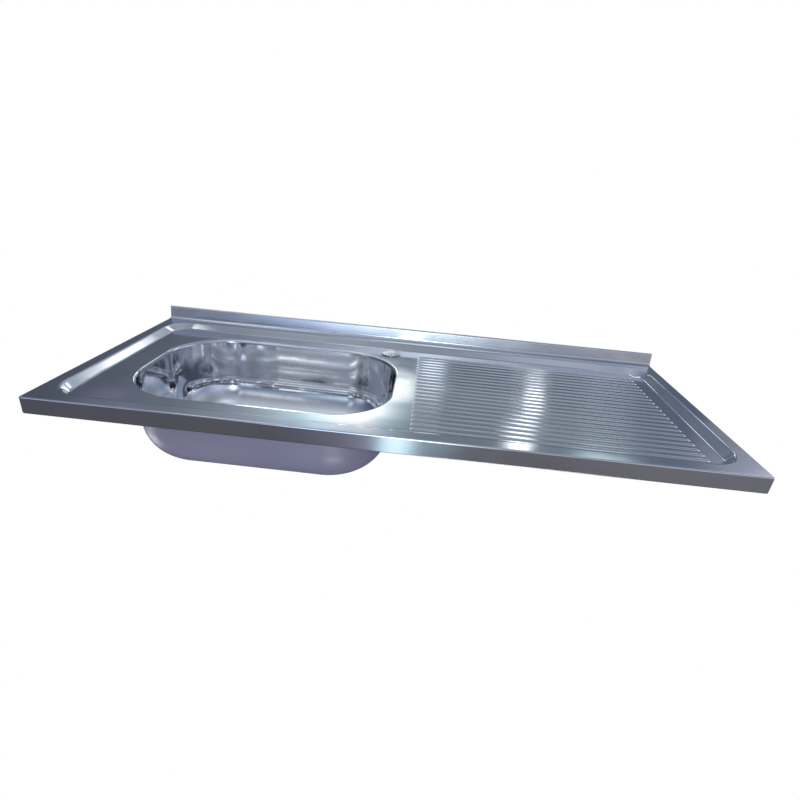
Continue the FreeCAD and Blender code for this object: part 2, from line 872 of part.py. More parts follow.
def corner_plate(name, side, facing):
    """Plate with one corner cut off, which lies on both flanges and carries the clip's bolt."""
    x, y = corner_place(side, facing)
    body = new_body(name, x, y, size.sheet_gauge)
    sketch = new_sketch(body, "XY_Plane", name + "_plan")
    near, leg, reach = size.seat_gap, size.plate_leg, size.plate_reach
    cut = size.plate_chamfer
    corners = [(near, near), (leg, near), (leg, reach - cut), (leg - cut, reach), (near, reach)]
    outline(sketch, [(-across * side, along * facing) for across, along in corners])
    circle(sketch, -size.clip_inset * side, size.clip_setback * facing,
           size.clip_bolt_radius + size.clip_hole_gap)
    pad(body, sketch, size.plate_gauge)
    return body


def clip_arm(name, side, facing):
    """Flat arm that swings about its bolt, with a tooth bent up at its tip."""
    x, y = clip_place(side, facing)
    body = new_body(name, x, y, -size.clip_drop - size.clip_arm_gauge)
    half_width = size.clip_arm_width / 2
    tip = size.clip_arm_length
    inward = -1 if side > 0 else 1
    boss = new_sketch(body, "XY_Plane", name + "_boss")
    circle(boss, ZERO, ZERO, half_width)
    pad(body, boss, size.clip_arm_gauge)
    bars = {
        "bar": (ZERO, size.clip_arm_gauge),
        "tooth": (tip - size.clip_tooth_gauge, size.clip_arm_gauge + size.clip_tooth_height),
    }
    for bar, (root, height) in bars.items():
        sketch = new_sketch(body, "XY_Plane", f"{name}_{bar}")
        outline(sketch, [
            (root * inward, half_width * inward), (root * inward, -half_width * inward),
            (tip * inward, -half_width * inward), (tip * inward, half_width * inward),
        ])
        pad(body, sketch, height)
    hole = new_sketch(body, "XY_Plane", name + "_hole")
    circle(hole, ZERO, ZERO, size.clip_bolt_radius + size.clip_swing_gap)
    pocket_through(body, hole)
    return body


def hexagon(flats):
    """Corners of a hexagon from its size across the flats."""
    reach = flats / math.sqrt(3)
    angles = [math.radians(60 * number) for number in range(6)]
    return [(reach * math.cos(angle), reach * math.sin(angle)) for angle in angles]


def clip_bolt(name, side, facing):
    """Hexagon bolt that hangs through its corner plate."""
    x, y = clip_place(side, facing)
    body = new_body(name, x, y, size.sheet_gauge + size.plate_gauge)
    sketch = new_sketch(body, "XY_Plane", name + "_head")
    outline(sketch, hexagon(size.clip_head_flats))
    pad(body, sketch, size.clip_head_height)
    shank = new_sketch(body, "XY_Plane", name + "_shank")
    circle(shank, ZERO, ZERO, size.clip_bolt_radius)
    pad(body, shank, size.clip_bolt_drop, down=True)
    return body


def clip_nut(name, side, facing):
    """Wing nut that holds its arm up on the bolt."""
    x, y = clip_place(side, facing)
    body = new_body(name, x, y, -size.clip_drop - size.clip_arm_gauge)
    return wing_nut(body, name, size.clip_bolt_radius + size.thread_gap)


def grouped(name, parts):
    """One node that holds several separate solids."""
    group = doc.addObject("Part::Compound", name)
    group.Label = name
    group.Links = parts
    return group


def corner_parts():
    parts = []
    for corner, (side, facing) in CORNERS.items():
        parts.append(corner_plate(f"corner_plate_{corner}", side, facing))
        parts.append(clip_arm(f"clip_arm_{corner}", side, facing))
    bolts = [clip_bolt(f"clip_bolt_{corner}", *signs) for corner, signs in CORNERS.items()]
    nuts = [clip_nut(f"clip_nut_{corner}", *signs) for corner, signs in CORNERS.items()]
    return parts + [grouped("clip_bolts", bolts), grouped("clip_wing_nuts", nuts)]


# Strainer waste in the bowl's recess

def waste_body():
    """Dish with its flange and threaded outlet, and the spoked hub that guides the post."""
    dish = size.dish_radius - size.dish_wall
    flange_bottom = size.waste_seal_thickness
    flange_top = flange_bottom + size.waste_flange_gauge
    floor = -size.dish_depth
    under = floor - size.dish_wall
    outlet = size.spigot_radius - size.spigot_wall
    end = under - size.spigot_length
    mouth = size.waste_flange_gauge * 2
    body = turned("waste_body", bowl_x, bowl_y, recess_floor, [
        (size.waste_flange_radius, flange_bottom),
        (size.waste_flange_radius, flange_top),
        (dish + mouth, flange_top),
        (dish, flange_top - mouth, mouth, 1),
        (dish, floor),
        (outlet, floor),
        (outlet, end),
        (size.spigot_radius, end),
        (size.spigot_radius, under),
        (size.dish_radius, under),
        (size.dish_radius, flange_bottom),
    ])
    spoke = new_sketch(body, "XY_Plane", "waste_spoke", z=floor)
    half_width = size.spoke_width / 2
    near = (size.hub_radius + size.hub_bore) / 2
    far = outlet + size.spigot_wall / 2
    outline(spoke, [(near, -half_width), (far, -half_width), (far, half_width), (near, half_width)])
    hub = new_sketch(body, "XY_Plane", "waste_hub", z=floor)
    circle(hub, ZERO, ZERO, size.hub_radius)
    circle(hub, ZERO, ZERO, size.hub_bore)
    first = body.newObject("PartDesign::Pad", "waste_spoke_pad")
    first.Profile = spoke
    first.Reversed = True
    bind(first, "Length", size.dish_wall)
    finish_feature(body, first)
    polar_copies(body, first, size.spoke_count)
    pad(body, hub, size.dish_wall, down=True)
    return body


def lock_nut():
    """Ring nut with lugs for turning it up against the friction ring."""
    top = recess_floor - size.sheet_gauge - size.washer_thickness - size.friction_ring_thickness
    bore = size.dish_radius + size.thread_gap
    body = turned("waste_lock_nut", bowl_x, bowl_y, top - size.lock_nut_height, [
        (bore, ZERO),
        (size.lock_nut_radius, ZERO),
        (size.lock_nut_radius, size.lock_nut_height),
        (bore, size.lock_nut_height),
    ])
    lug = new_sketch(body, "XY_Plane", "lock_nut_lug")
    near = (bore + size.lock_nut_radius) / 2
    far = size.lock_nut_radius + size.lock_nut_lug
    half_width = size.lock_nut_lug_width / 2
    outline(lug, [(near, -half_width), (far, -half_width), (far, half_width), (near, half_width)])
    polar_copies(body, pad(body, lug, size.lock_nut_height), size.lock_nut_lug_count)
    return body


def waste_parts():
    under = recess_floor - size.sheet_gauge - size.washer_thickness
    return [
        waste_body(),
        ring("waste_flange_seal", bowl_x, bowl_y, recess_floor, size.waste_seal_inner,
             size.waste_seal_outer, size.waste_seal_thickness),
        ring("waste_rubber_washer", bowl_x, bowl_y, under, size.washer_inner,
             size.washer_outer, size.washer_thickness),
        ring("waste_friction_ring", bowl_x, bowl_y, under - size.friction_ring_thickness,
             size.washer_inner, size.washer_outer, size.friction_ring_thickness),
        lock_nut(),
    ]


# Lift-out strainer basket

def basket():
    """Perforated cup: holes in two rings of its floor and slots round its wall."""
    base = recess_floor - size.dish_depth + size.basket_seal_thickness
    bore = size.post_stem_radius + size.thread_gap
    gauge = size.basket_gauge
    top = size.basket_height
    body = turned("basket", bowl_x, bowl_y, base, [
        (bore, ZERO),
        (size.basket_floor_radius, ZERO),
        (size.basket_rim_radius, top - gauge),
        (size.basket_lip_radius, top - gauge),
        (size.basket_lip_radius, top),
        (size.basket_rim_radius - gauge, top),
        (size.basket_floor_radius - gauge, gauge),
        (bore, gauge),
    ])
    rings = {
        "inner": (size.inner_hole_ring, size.inner_hole_count),
        "outer": (size.outer_hole_ring, size.outer_hole_count),
    }
    for name, (reach, count) in rings.items():
        hole = new_sketch(body, "XY_Plane", f"basket_{name}_hole")
        circle(hole, reach, ZERO, size.basket_hole_radius)
        polar_copies(body, pocket_through(body, hole), count)
    slot = new_sketch(body, "YZ_Plane", "basket_wall_slot", z=size.basket_floor_radius)
    half_width = size.wall_slot_width / 2
    low = (top - size.wall_slot_height) / 2
    high = low + size.wall_slot_height
    outline(slot, [(half_width, low), (half_width, high), (-half_width, high), (-half_width, low)])
    first = body.newObject("PartDesign::Pocket", "basket_slot_cut")
    first.Profile = slot
    first.Midplane = True
    bind(first, "Length", size.basket_floor_radius)
    finish_feature(body, first)
    row = body.newObject("PartDesign::PolarPattern", "basket_slot_ring")
    row.Originals = [first]
    row.Axis = (slot, ["V_Axis"])
    row.Angle = 360
    bind(row, "Occurrences", size.wall_slot_count)
    finish_feature(body, row)
    return body


def basket_post():
    """Post with its collar on the basket's floor, a knob on top and a tip in the hub."""
    base = recess_floor - size.dish_depth + size.basket_seal_thickness
    collar = size.basket_gauge
    shoulder = collar + size.post_collar_height
    knob = size.knob_rise
    crown_height = knob + size.knob_height
    tip = -size.basket_seal_thickness - size.dish_wall - size.post_tip_drop
    edge = size.knob_height / 2
    rise = size.knob_height - edge
    crown = (size.knob_radius * size.knob_radius + rise * rise) / (rise * 2)
    return turned("basket_post", bowl_x, bowl_y, base, [
        (ZERO, tip),
        (size.post_tip_radius, tip),
        (size.post_tip_radius, -size.basket_seal_thickness),
        (size.post_stem_radius, -size.basket_seal_thickness),
        (size.post_stem_radius, collar),
        (size.post_collar_radius, collar),
        (size.post_collar_radius, shoulder),
        (size.post_stem_radius, shoulder),
        (size.post_stem_radius, knob),
        (size.knob_radius, knob),
        (size.knob_radius, knob + edge),
        (ZERO, crown_height, crown, 1),
    ])


def basket_parts():
    seal = ring("basket_seal", bowl_x, bowl_y, recess_floor - size.dish_depth,
                size.post_stem_radius + size.thread_gap, size.basket_seal_radius,
                size.basket_seal_thickness)
    return [basket(), basket_post(), seal]


# Assembly

sub_parts = [
    sink_top(),
    bowl(),
    bowl_sound_coat(),
    *cover_parts(),
    *edge_channels(),
    *cross_rails(),
    *drainer_pads(),
    *corner_parts(),
    *waste_parts(),
    *basket_parts(),
]
doc.recompute()

for thing in doc.Objects:
    faults = [word for word in thing.State if word in ("Invalid", "Error")]
    if faults:
        raise RuntimeError(f"{thing.Label} failed: {faults}")

os.makedirs("parts", exist_ok=True)
for sub_part in sub_parts:
    shape = sub_part.Shape
    if shape.isNull() or not shape.isValid() or not shape.Solids:
        raise RuntimeError(f"{sub_part.Label} has no valid solid")
    shape.exportStep(f"parts/{sub_part.Label}.step")
    print(f"{sub_part.Label}: {len(shape.Solids)} solids, {shape.Volume:.0f} mm3, box {shape.BoundBox}")
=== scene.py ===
import math

import bmesh
import bpy
import numpy as np
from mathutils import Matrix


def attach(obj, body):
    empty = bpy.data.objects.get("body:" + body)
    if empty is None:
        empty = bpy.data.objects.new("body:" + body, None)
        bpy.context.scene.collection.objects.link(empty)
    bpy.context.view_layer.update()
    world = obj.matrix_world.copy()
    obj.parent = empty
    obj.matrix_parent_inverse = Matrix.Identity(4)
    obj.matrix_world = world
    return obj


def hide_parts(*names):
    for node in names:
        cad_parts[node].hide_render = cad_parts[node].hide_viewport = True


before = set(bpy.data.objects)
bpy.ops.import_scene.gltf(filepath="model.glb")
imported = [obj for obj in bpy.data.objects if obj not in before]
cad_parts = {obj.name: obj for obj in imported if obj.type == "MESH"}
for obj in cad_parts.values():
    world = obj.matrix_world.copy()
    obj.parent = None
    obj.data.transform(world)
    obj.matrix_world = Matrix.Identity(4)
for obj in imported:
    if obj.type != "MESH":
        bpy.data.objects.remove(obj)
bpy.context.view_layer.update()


# Helpers: directions and places, two classes that turn plain arithmetic into a
# material's nodes, and functions that make a mesh from grids of points.


def unit(vectors):
    """Vectors along the last axis brought to length 1; one without length stays zero."""
    return vectors / np.maximum(np.linalg.norm(vectors, axis=-1, keepdims=True), 1e-12)


def new_object(name, data):
    """Object in the scene that holds a mesh, a lamp or a camera."""
    thing = bpy.data.objects.new(name, data)
    bpy.context.scene.collection.objects.link(thing)
    return thing


def place_object(thing, axes, place):
    """Stand an object at a place, with its own x, y and z along the three axes."""
    matrix = np.eye(4)
    matrix[:3, :3] = np.column_stack(axes)
    matrix[:3, 3] = place
    thing.matrix_world = matrix.T.tolist()


class Value:
    """One output of a material's nodes; arithmetic on it adds the Math nodes."""

    def __init__(self, finish, socket):
        self.finish = finish
        self.socket = socket

    def math(self, operation, *values):
        """Result of one Math node that is fed with the values."""
        node = self.finish.tree.nodes.new("ShaderNodeMath")
        node.operation = operation
        for slot, value in zip(node.inputs, values):
            self.finish.feed(slot, value)
        return Value(self.finish, node.outputs[0])

    def __add__(self, other):
        return self.math("ADD", self, other)

    def __mul__(self, other):
        return self.math("MULTIPLY", self, other)

    def sine(self):
        return self.math("SINE", self)

    def maximum(self, other):
        return self.math("MAXIMUM", self, other)

    __radd__ = __add__


class Finish:
    """A material with one shader, whose plain sockets are set by name."""

    def __init__(self, name, shader="ShaderNodeBsdfPrincipled", **sockets):
        self.material = bpy.data.materials.new(name)
        self.material.use_nodes = True
        self.tree = self.material.node_tree
        self.tree.nodes.clear()
        self.output = self.tree.nodes.new("ShaderNodeOutputMaterial")
        self.shader = self.tree.nodes.new(shader)
        self.tree.links.new(self.shader.outputs[0], self.output.inputs["Surface"])
        self.set(**sockets)

    def feed(self, slot, value):
        """Link a socket to a value or set it to a number or colour."""
        if isinstance(value, Value):
            self.tree.links.new(value.socket, slot)
        else:
            slot.default_value = value

    def set(self, **sockets):
        """Feed the shader's sockets by name."""
        for name, value in sockets.items():
            self.feed(self.shader.inputs[name.replace("_", " ")], value)

    def add(self, kind, result=0, settings=None, **sockets):
        """Add any node, with its settings and its sockets by name."""
        node = self.tree.nodes.new(kind)
        for name, value in (settings or {}).items():
            setattr(node, name, value)
        for name, value in sockets.items():
            self.feed(node.inputs[name.replace("_", " ")], value)
        return Value(self, node.outputs[result])

    def places(self, stretch=(1, 1, 1), shift=(0, 0, 0)):
        """Places on the piece in metres, each axis multiplied by its stretch, then moved."""
        plain = self.add("ShaderNodeTexCoord", "Object")
        return self.add("ShaderNodeMapping", Vector=plain, Scale=stretch, Location=shift)

    def height(self):
        """Height of the place on the piece in metres."""
        return self.add("ShaderNodeSeparateXYZ", "Z", Vector=self.places())

    def noise(self, scale, stretch=(1, 1, 1), detail=2.0, **sockets):
        """Soft noise around 0.5; a small stretch draws it out along that axis."""
        return self.add("ShaderNodeTexNoise", "Fac", Vector=self.places(stretch), Scale=scale,
                        Detail=detail, **sockets)

    def ramp(self, value, low, high):
        """0 below low, 1 above high and a smooth rise between them."""
        return self.add("ShaderNodeMapRange", "Result", settings={"interpolation_type": "SMOOTHSTEP"},
                        Value=value, From_Min=low, From_Max=high)

    def blend(self, share, first, second):
        """Colour that goes from first to second with share."""
        node = self.tree.nodes.new("ShaderNodeMix")
        node.data_type = "RGBA"
        colours = [slot for slot in node.inputs if slot.type == "RGBA"]
        self.feed(node.inputs["Factor"], share)
        for slot, colour in zip(colours, (first, second)):
            self.feed(slot, colour)
        return Value(self, [slot for slot in node.outputs if slot.type == "RGBA"][0])

    def bump(self, height, distance):
        """Light the surface as if it rose by height times distance in metres."""
        self.set(Normal=self.add("ShaderNodeBump", "Normal", Height=height, Distance=distance))


def piece_from(name, points, faces, material):
    """Mesh object from an array of points and an array of three-cornered faces."""
    mesh = bpy.data.meshes.new(name)
    mesh.vertices.add(len(points))
    mesh.vertices.foreach_set("co", points.astype(np.float32).ravel())
    mesh.loops.add(faces.size)
    mesh.loops.foreach_set("vertex_index", faces.astype(np.int32).ravel())
    mesh.polygons.add(len(faces))
    mesh.polygons.foreach_set("loop_start", np.arange(0, faces.size, 3, dtype=np.int32))
    mesh.update(calc_edges=True)
    mesh.materials.append(material)
    return new_object(name, mesh)


def grid_faces(rows, columns):
    """Cells of a rows by columns grid, each cut into two three-cornered faces."""
    corner = (np.arange(rows - 1)[:, None] * columns + np.arange(columns - 1)[None, :]).ravel()
    first = np.stack([corner, corner + 1, corner + columns + 1], axis=1)
    second = np.stack([corner, corner + columns + 1, corner + columns], axis=1)
    return np.concatenate([first, second])


def face_normals(points, faces):
    """Directions that the faces look in, each as long as twice the face's area."""
    first, second, third = points[faces[:, 0]], points[faces[:, 1]], points[faces[:, 2]]
    return np.cross(second - first, third - first)


def rounded_profile(corners, pieces=8):
    """Line through (across, up) corners, each rounded by its radius with an arc that
    touches both its sides. Gives the points and the normals on the line's left."""
    corners = np.array(corners, float)
    directions = unit(np.diff(corners[:, :2], axis=0))
    lefts = np.stack([-directions[:, 1], directions[:, 0]], axis=1)
    points, normals = [corners[:1, :2]], [lefts[:1]]
    for index in range(1, len(corners) - 1):
        here, radius = corners[index, :2], corners[index, 2]
        before, after = directions[index - 1], directions[index]
        bend = math.atan2(before[0] * after[1] - before[1] * after[0], before @ after)
        reach = radius * math.tan(abs(bend) / 2)
        side = math.copysign(1, bend)
        centre = here - before * reach + lefts[index - 1] * radius * side
        angles = np.linspace(0, bend, pieces + 1)[:, None]
        turned = lefts[index - 1] * np.cos(angles) - before * np.sin(angles)
        points.append(centre - turned * radius * side)
        normals.append(turned)
    points.append(corners[-1:, :2])
    normals.append(lefts[-1:])
    return np.concatenate(points), np.concatenate(normals)


def loop_around(angle_steps, straight_steps, half, corner, inset=0.0):
    """Closed loop round a rectangle with rounded corners, drawn in by inset: four
    straight sides and four arcs about fixed centres. Gives places and outward normals."""
    x_centre, y_centre = half[0] - corner, half[1] - corner
    radius = corner - inset
    angles = np.linspace(0, math.pi / 2, angle_steps + 1)
    quarters = ((1, -1), (1, 1), (-1, 1), (-1, -1))
    places, normals = [], []
    for quarter, (x_side, y_side) in enumerate(quarters):
        swing = angles + math.pi / 2 * (quarter - 1)
        outward = np.stack([np.cos(swing), np.sin(swing)], axis=1)
        arc = np.array([x_side * x_centre, y_side * y_centre]) + outward * radius
        x_next, y_next = quarters[(quarter + 1) % 4]
        start = arc[-1]
        end = np.array([x_next * x_centre, y_next * y_centre]) + outward[-1] * radius
        shares = np.linspace(0, 1, straight_steps[quarter % 2] + 1)[1:-1, None]
        places += [arc, start + (end - start) * shares]
        normals += [outward, np.repeat(outward[-1:], len(shares), axis=0)]
    places, normals = np.concatenate(places), np.concatenate(normals)
    return np.concatenate([places, places[:1]]), np.concatenate([normals, normals[:1]])


def swept(away, pairs):
    """Grid of (across, up) pairs, each drawn along every one of the away directions."""
    across = away[None] * pairs[:, None, :1]
    return np.concatenate([across, np.repeat(pairs[:, None, 1:], len(away), axis=1)], axis=-1)


def swept_patch(places, away, profile):
    """Grid that carries a profile's points and normals along a line of places."""
    points, normals = profile
    grid = swept(away, points)
    grid[..., :2] += places
    return grid, swept(away, normals)


WELD_STEPS_PER_METRE = 1e6


def sheet_piece(name, patches, gauge, material, hole=None):
    """Weld grids of points into one sheet, thicken it against its normals and close
    its open edges. Each patch is (points, normals) on a rows by columns grid. A hole is
    (centre, radius): points inside it move straight out to the circle."""
    points, normals, faces = [], [], []
    count = 0
    for patch_points, patch_normals in patches:
        points.append(patch_points.reshape(-1, 3))
        normals.append(patch_normals.reshape(-1, 3))
        faces.append(grid_faces(*patch_points.shape[:2]) + count)
        count += len(points[-1])
    points, normals, faces = np.concatenate(points), np.concatenate(normals), np.concatenate(faces)
    if hole:
        centre, radius = hole
        offset = points[:, :2] - centre
        inside = np.linalg.norm(offset, axis=1) < radius
        faces = faces[~inside[faces].all(axis=1)]
        points[inside, :2] = centre + unit(offset[inside]) * radius
    wrong = np.einsum("ij,ij->i", face_normals(points, faces), normals[faces].sum(axis=1)) < 0
    faces[wrong] = faces[wrong][:, ::-1]
    steps = np.round(points * WELD_STEPS_PER_METRE).astype(np.int64)
    _, first, welded = np.unique(steps, axis=0, return_index=True, return_inverse=True)
    points = points[first]
    corner_normals = normals[faces]
    faces = welded.ravel()[faces]
    whole = (faces != np.roll(faces, -1, axis=1)).all(axis=1)
    faces, corner_normals = faces[whole], corner_normals[whole]
    total = np.zeros_like(points)
    np.add.at(total, faces.ravel(), corner_normals.reshape(-1, 3))
    total = unit(total)
    size = len(points)
    starts = faces.ravel()
    ends = np.roll(faces, -1, axis=1).ravel()
    alone = ~np.isin(starts * size + ends, ends * size + starts)
    start, end = starts[alone], ends[alone]
    strips = np.concatenate([
        np.stack([end, start, start + size], axis=1),
        np.stack([end, start + size, end + size], axis=1),
    ])
    both = np.concatenate([points, points - total * gauge])
    strip_normals = np.repeat(unit(face_normals(both, strips))[:, None], 3, axis=1)
    inner = faces[:, ::-1]
    thing = piece_from(name, both, np.concatenate([faces, inner + size, strips]), material)
    thing.data.shade_smooth()
    all_normals = np.concatenate([corner_normals, -total[inner], strip_normals])
    thing.data.normals_split_custom_set(all_normals.reshape(-1, 3).tolist())
    return thing


# Camera: it stands where the photographer stood, just right of the sink's middle and
# 0.4 m above its seat, looks down at the sink and is tilted, so the sink runs down to
# the right.

PHOTO_WIDTH_PIXELS = 800
FOCAL_LENGTH_PIXELS = 490.6
SENSOR_WIDTH_MM = 36
CAMERA_PLACE = (0.0380, -0.6832, 0.4030)
CAMERA_YAW = math.radians(-2.0)
CAMERA_PITCH = math.radians(24.5)
CAMERA_ROLL = math.radians(5.17)

lens = bpy.data.cameras.new("camera")
lens.sensor_width = SENSOR_WIDTH_MM
lens.lens = SENSOR_WIDTH_MM * FOCAL_LENGTH_PIXELS / PHOTO_WIDTH_PIXELS
camera = new_object("camera", lens)
bpy.context.scene.camera = camera
looking = np.array([
    math.sin(CAMERA_YAW) * math.cos(CAMERA_PITCH),
    math.cos(CAMERA_YAW) * math.cos(CAMERA_PITCH),
    -math.sin(CAMERA_PITCH),
])
level = np.array([math.cos(CAMERA_YAW), -math.sin(CAMERA_YAW), 0])
upright = np.cross(level, looking)
across = math.cos(CAMERA_ROLL) * level + math.sin(CAMERA_ROLL) * upright
above = -math.sin(CAMERA_ROLL) * level + math.cos(CAMERA_ROLL) * upright
place_object(camera, (across, above, -looking), CAMERA_PLACE)


# Studio: a floor as far below the sink as a kitchen's and a world, both white to the
# camera and dimmer as a light, a dome that only reflections see, and three large soft
# lamps that reflections don't see.

WHITE = (1, 1, 1, 1)
FLOOR_HEIGHT = -0.87
FLOOR_REACH = 30
WORLD_FILL = 0.6
DOME_RADIUS = 12

floor_paint = Finish("floor_paint", Base_Color=(0.93, 0.93, 0.93, 1), Roughness=0.9)
glow = floor_paint.add("ShaderNodeEmission", Color=WHITE, Strength=1.0)
seen = floor_paint.add("ShaderNodeLightPath", "Is Camera Ray")
mix = floor_paint.add("ShaderNodeMixShader", Fac=seen).socket
for output, slot in (
        (floor_paint.shader.outputs[0], mix.node.inputs[1]),
        (glow.socket, mix.node.inputs[2]),
        (mix, floor_paint.output.inputs["Surface"])):
    floor_paint.tree.links.new(output, slot)
floor_points = np.array([
    (x, y, FLOOR_HEIGHT) for x in (-FLOOR_REACH, FLOOR_REACH) for y in (-FLOOR_REACH, FLOOR_REACH)
])
floor = piece_from("floor", floor_points, np.array([(0, 2, 3), (0, 3, 1)]), floor_paint.material)
floor.visible_glossy = False

world = bpy.data.worlds.new("studio")
bpy.context.scene.world = world
world.use_nodes = True
nodes, links = world.node_tree.nodes, world.node_tree.links
background = nodes["Background"]
background.inputs["Color"].default_value = WHITE
rays = nodes.new("ShaderNodeLightPath")
strength = nodes.new("ShaderNodeMapRange")
strength.inputs["To Min"].default_value = WORLD_FILL
links.new(rays.outputs["Is Camera Ray"], strength.inputs["Value"])
links.new(strength.outputs["Result"], background.inputs["Strength"])

# Glows on the dome: (turn, height, spread, rise, edge, colour), angles in degrees. Turn
# is 0 straight behind the sink, grows to the right and is 180 behind the camera. Height
# is above the horizon. A glow reaches spread to each side and rise up and down, and
# edge says how sharply it ends there.
SOFT, CRISP, SHARP = 2, 4, 8
AMBIENT = (0.07, 0.08, 0.11)
GLOWS = [
    # Behind the camera: mirrored by the upstand, the bowl and parts that face the front.
    (180, 12, 6, 16, SOFT, (2.90, 2.85, 2.70)),
    (180, -4, 6, 16, SOFT, (2.50, 3.60, 4.40)),
    (-168, -5, 6, 10, SOFT, (2.30, 3.20, 5.40)),
    (-174, 2, 10, 10, SOFT, (0.60, 0.62, 0.64)),
    (180, 28, 12, 8, SOFT, (0.75, 0.90, 0.97)),
    (145, 15, 25, 30, SOFT, (0.52, 0.50, 0.52)),
    (-138, 12, 12, 16, SOFT, (0.63, 0.64, 0.83)),
    (135, 30, 90, 15, SOFT, (0.02, 0.10, 0.23)),
    (-155, 40, 5, 9, SOFT, (0.50, 0.48, 0.47)),
    (168, 80, 12, 8, SOFT, (0.31, 0.44, 0.52)),
    # Well below the horizon: mirrored by the apron and the coat under the bowl.
    (-178, -29, 2.2, 8, CRISP, (0.80, 1.10, 1.15)),
    (-173, -29, 5, 8, SOFT, (0.06, 0.06, 0.09)),
    (180, -27, 60, 9, SOFT, (0.06, 0.045, 0.035)),
    (162, -45, 10, 7, CRISP, (9.00, 9.00, 9.20)),
    (-80, -34, 8, 8, CRISP, (6.00, 6.00, 6.20)),
    # To the sides and high up: a broad fill for what faces neither front nor back.
    (-105, 75, 50, 30, SOFT, (0.45, 0.50, 0.55)),
    (82, 0, 25, 15, SOFT, (1.75, 1.90, 2.25)),
    (82, 38, 25, 15, SOFT, (0.29, 0.29, 0.28)),
    # Behind the sink, left: mirrored by the deck round the bowl and the ramps there.
    (-1.8, 22.7, 1.7, 1.25, SHARP, (1.35, 1.35, 1.30)),
    (-8, 24, 3, 2.5, SOFT, (3.90, 3.40, 3.10)),
    (-8, 37, 4, 3.4, CRISP, (1.60, 1.60, 1.60)),
    (-10, 24, 8, 4, CRISP, (0.45, 0.70, 0.75)),
    (-12.5, 27, 2.2, 2, CRISP, (0.35, 0.45, 0.42)),
    (-18, 18, 4.5, 5, CRISP, (1.60, 1.65, 1.70)),
    (-18, 36, 12, 16, SOFT, (0.36, 0.41, 0.46)),
    (-38, 30, 3, 5, SOFT, (0.35, 0.30, 0.50)),
    (-45, 49, 2, 3, CRISP, (1.20, 1.25, 1.30)),
    (-75, 70, 3.5, 9, CRISP, (2.40, 2.40, 2.40)),
    # Behind the sink, right: mirrored by the drainer, with the bright streak across it.
    (2, 18, 1.5, 5, CRISP, (1.30, 1.50, 1.70)),
    (13, 25, 15, 4.5, CRISP, (0.11, 0.13, 0.10)),
    (14.6, 27, 1.3, 1.6, CRISP, (3.20, 3.40, 3.50)),
    (15.6, 22, 0.9, 2.4, CRISP, (2.80, 3.00, 3.10)),
    (22, 6, 24, 10, SOFT, (0.12, 0.14, 0.16)),
    (26, 30, 3, 3, CRISP, (1.30, 1.60, 1.65)),
    (30, 52, 12, 16, SOFT, (0.25, 0.28, 0.34)),
    (36.5, 21, 2.2, 2.5, CRISP, (0.12, 0.10, 0.09)),
    (48, 30, 6, 10, SOFT, (2.00, 2.00, 2.25)),
]
turns = np.linspace(-180, 180, 361)
heights = np.linspace(-90, 90, 181)
turn_grid, height_grid = np.meshgrid(turns, heights)
dome_colours = np.zeros(turn_grid.shape + (3,)) + AMBIENT
for turn, height, spread, rise, edge, colour in GLOWS:
    aside = ((turn_grid - turn + 180) % 360 - 180) * math.cos(math.radians(height)) / spread
    over = (height_grid - height) / rise
    weight = np.exp(-np.abs(aside) ** edge - np.abs(over) ** edge)
    dome_colours += weight[..., None] * np.array(colour)
around, up = np.radians(turn_grid), np.radians(height_grid)
dome_points = DOME_RADIUS * np.stack(
    [np.sin(around) * np.cos(up), np.cos(around) * np.cos(up), np.sin(up)], axis=-1)
dome_light = Finish("dome_light", "ShaderNodeEmission", Strength=1.0)
dome_light.set(Color=dome_light.add("ShaderNodeAttribute", "Color", settings={"attribute_name": "glow"}))
dome = piece_from("reflected_studio", dome_points.reshape(-1, 3), grid_faces(*turn_grid.shape),
                  dome_light.material)
glow_layer = dome.data.color_attributes.new("glow", "FLOAT_COLOR", "POINT")
opaque = np.ones(turn_grid.shape + (1,))
glow_layer.data.foreach_set(
    "color", np.concatenate([dome_colours, opaque], axis=-1).astype(np.float32).ravel())
for sight in ("camera", "diffuse", "shadow", "transmission", "volume_scatter"):
    setattr(dome, f"visible_{sight}", False)

# Lamps: place, the point that the lamp faces, width in metres and power in watts.
LAMPS = {
    "lamp_above": ((0.2, 0.4, 2.6), (0, 0.2, 0), 2.4, 26),
    "lamp_left": ((-2.6, -1.2, 1.4), (0, 0.2, 0), 1.6, 22),
    "lamp_front": ((0.4, -3.0, 0.0), (-0.2, 0.2, -0.1), 1.6, 40),
}
for name, (place, aim, width, power) in LAMPS.items():
    lamp = bpy.data.lights.new(name, "AREA")
    lamp.shape = "DISK"
    lamp.size = width
    lamp.energy = power
    holder = new_object(name, lamp)
    back_way = unit(np.array(place) - np.array(aim))
    side_way = unit(np.cross((0, 0, 1), back_way))
    place_object(holder, (side_way, np.cross(back_way, side_way), back_way), place)
    holder.visible_glossy = False

bpy.context.scene.view_settings.view_transform = "Standard"


# Deck: one sheet of stainless steel 0.8 mm thick, pressed into a sunk pan with ribs,
# folded down and in round three sides, and folded up into the upstand along the wall.

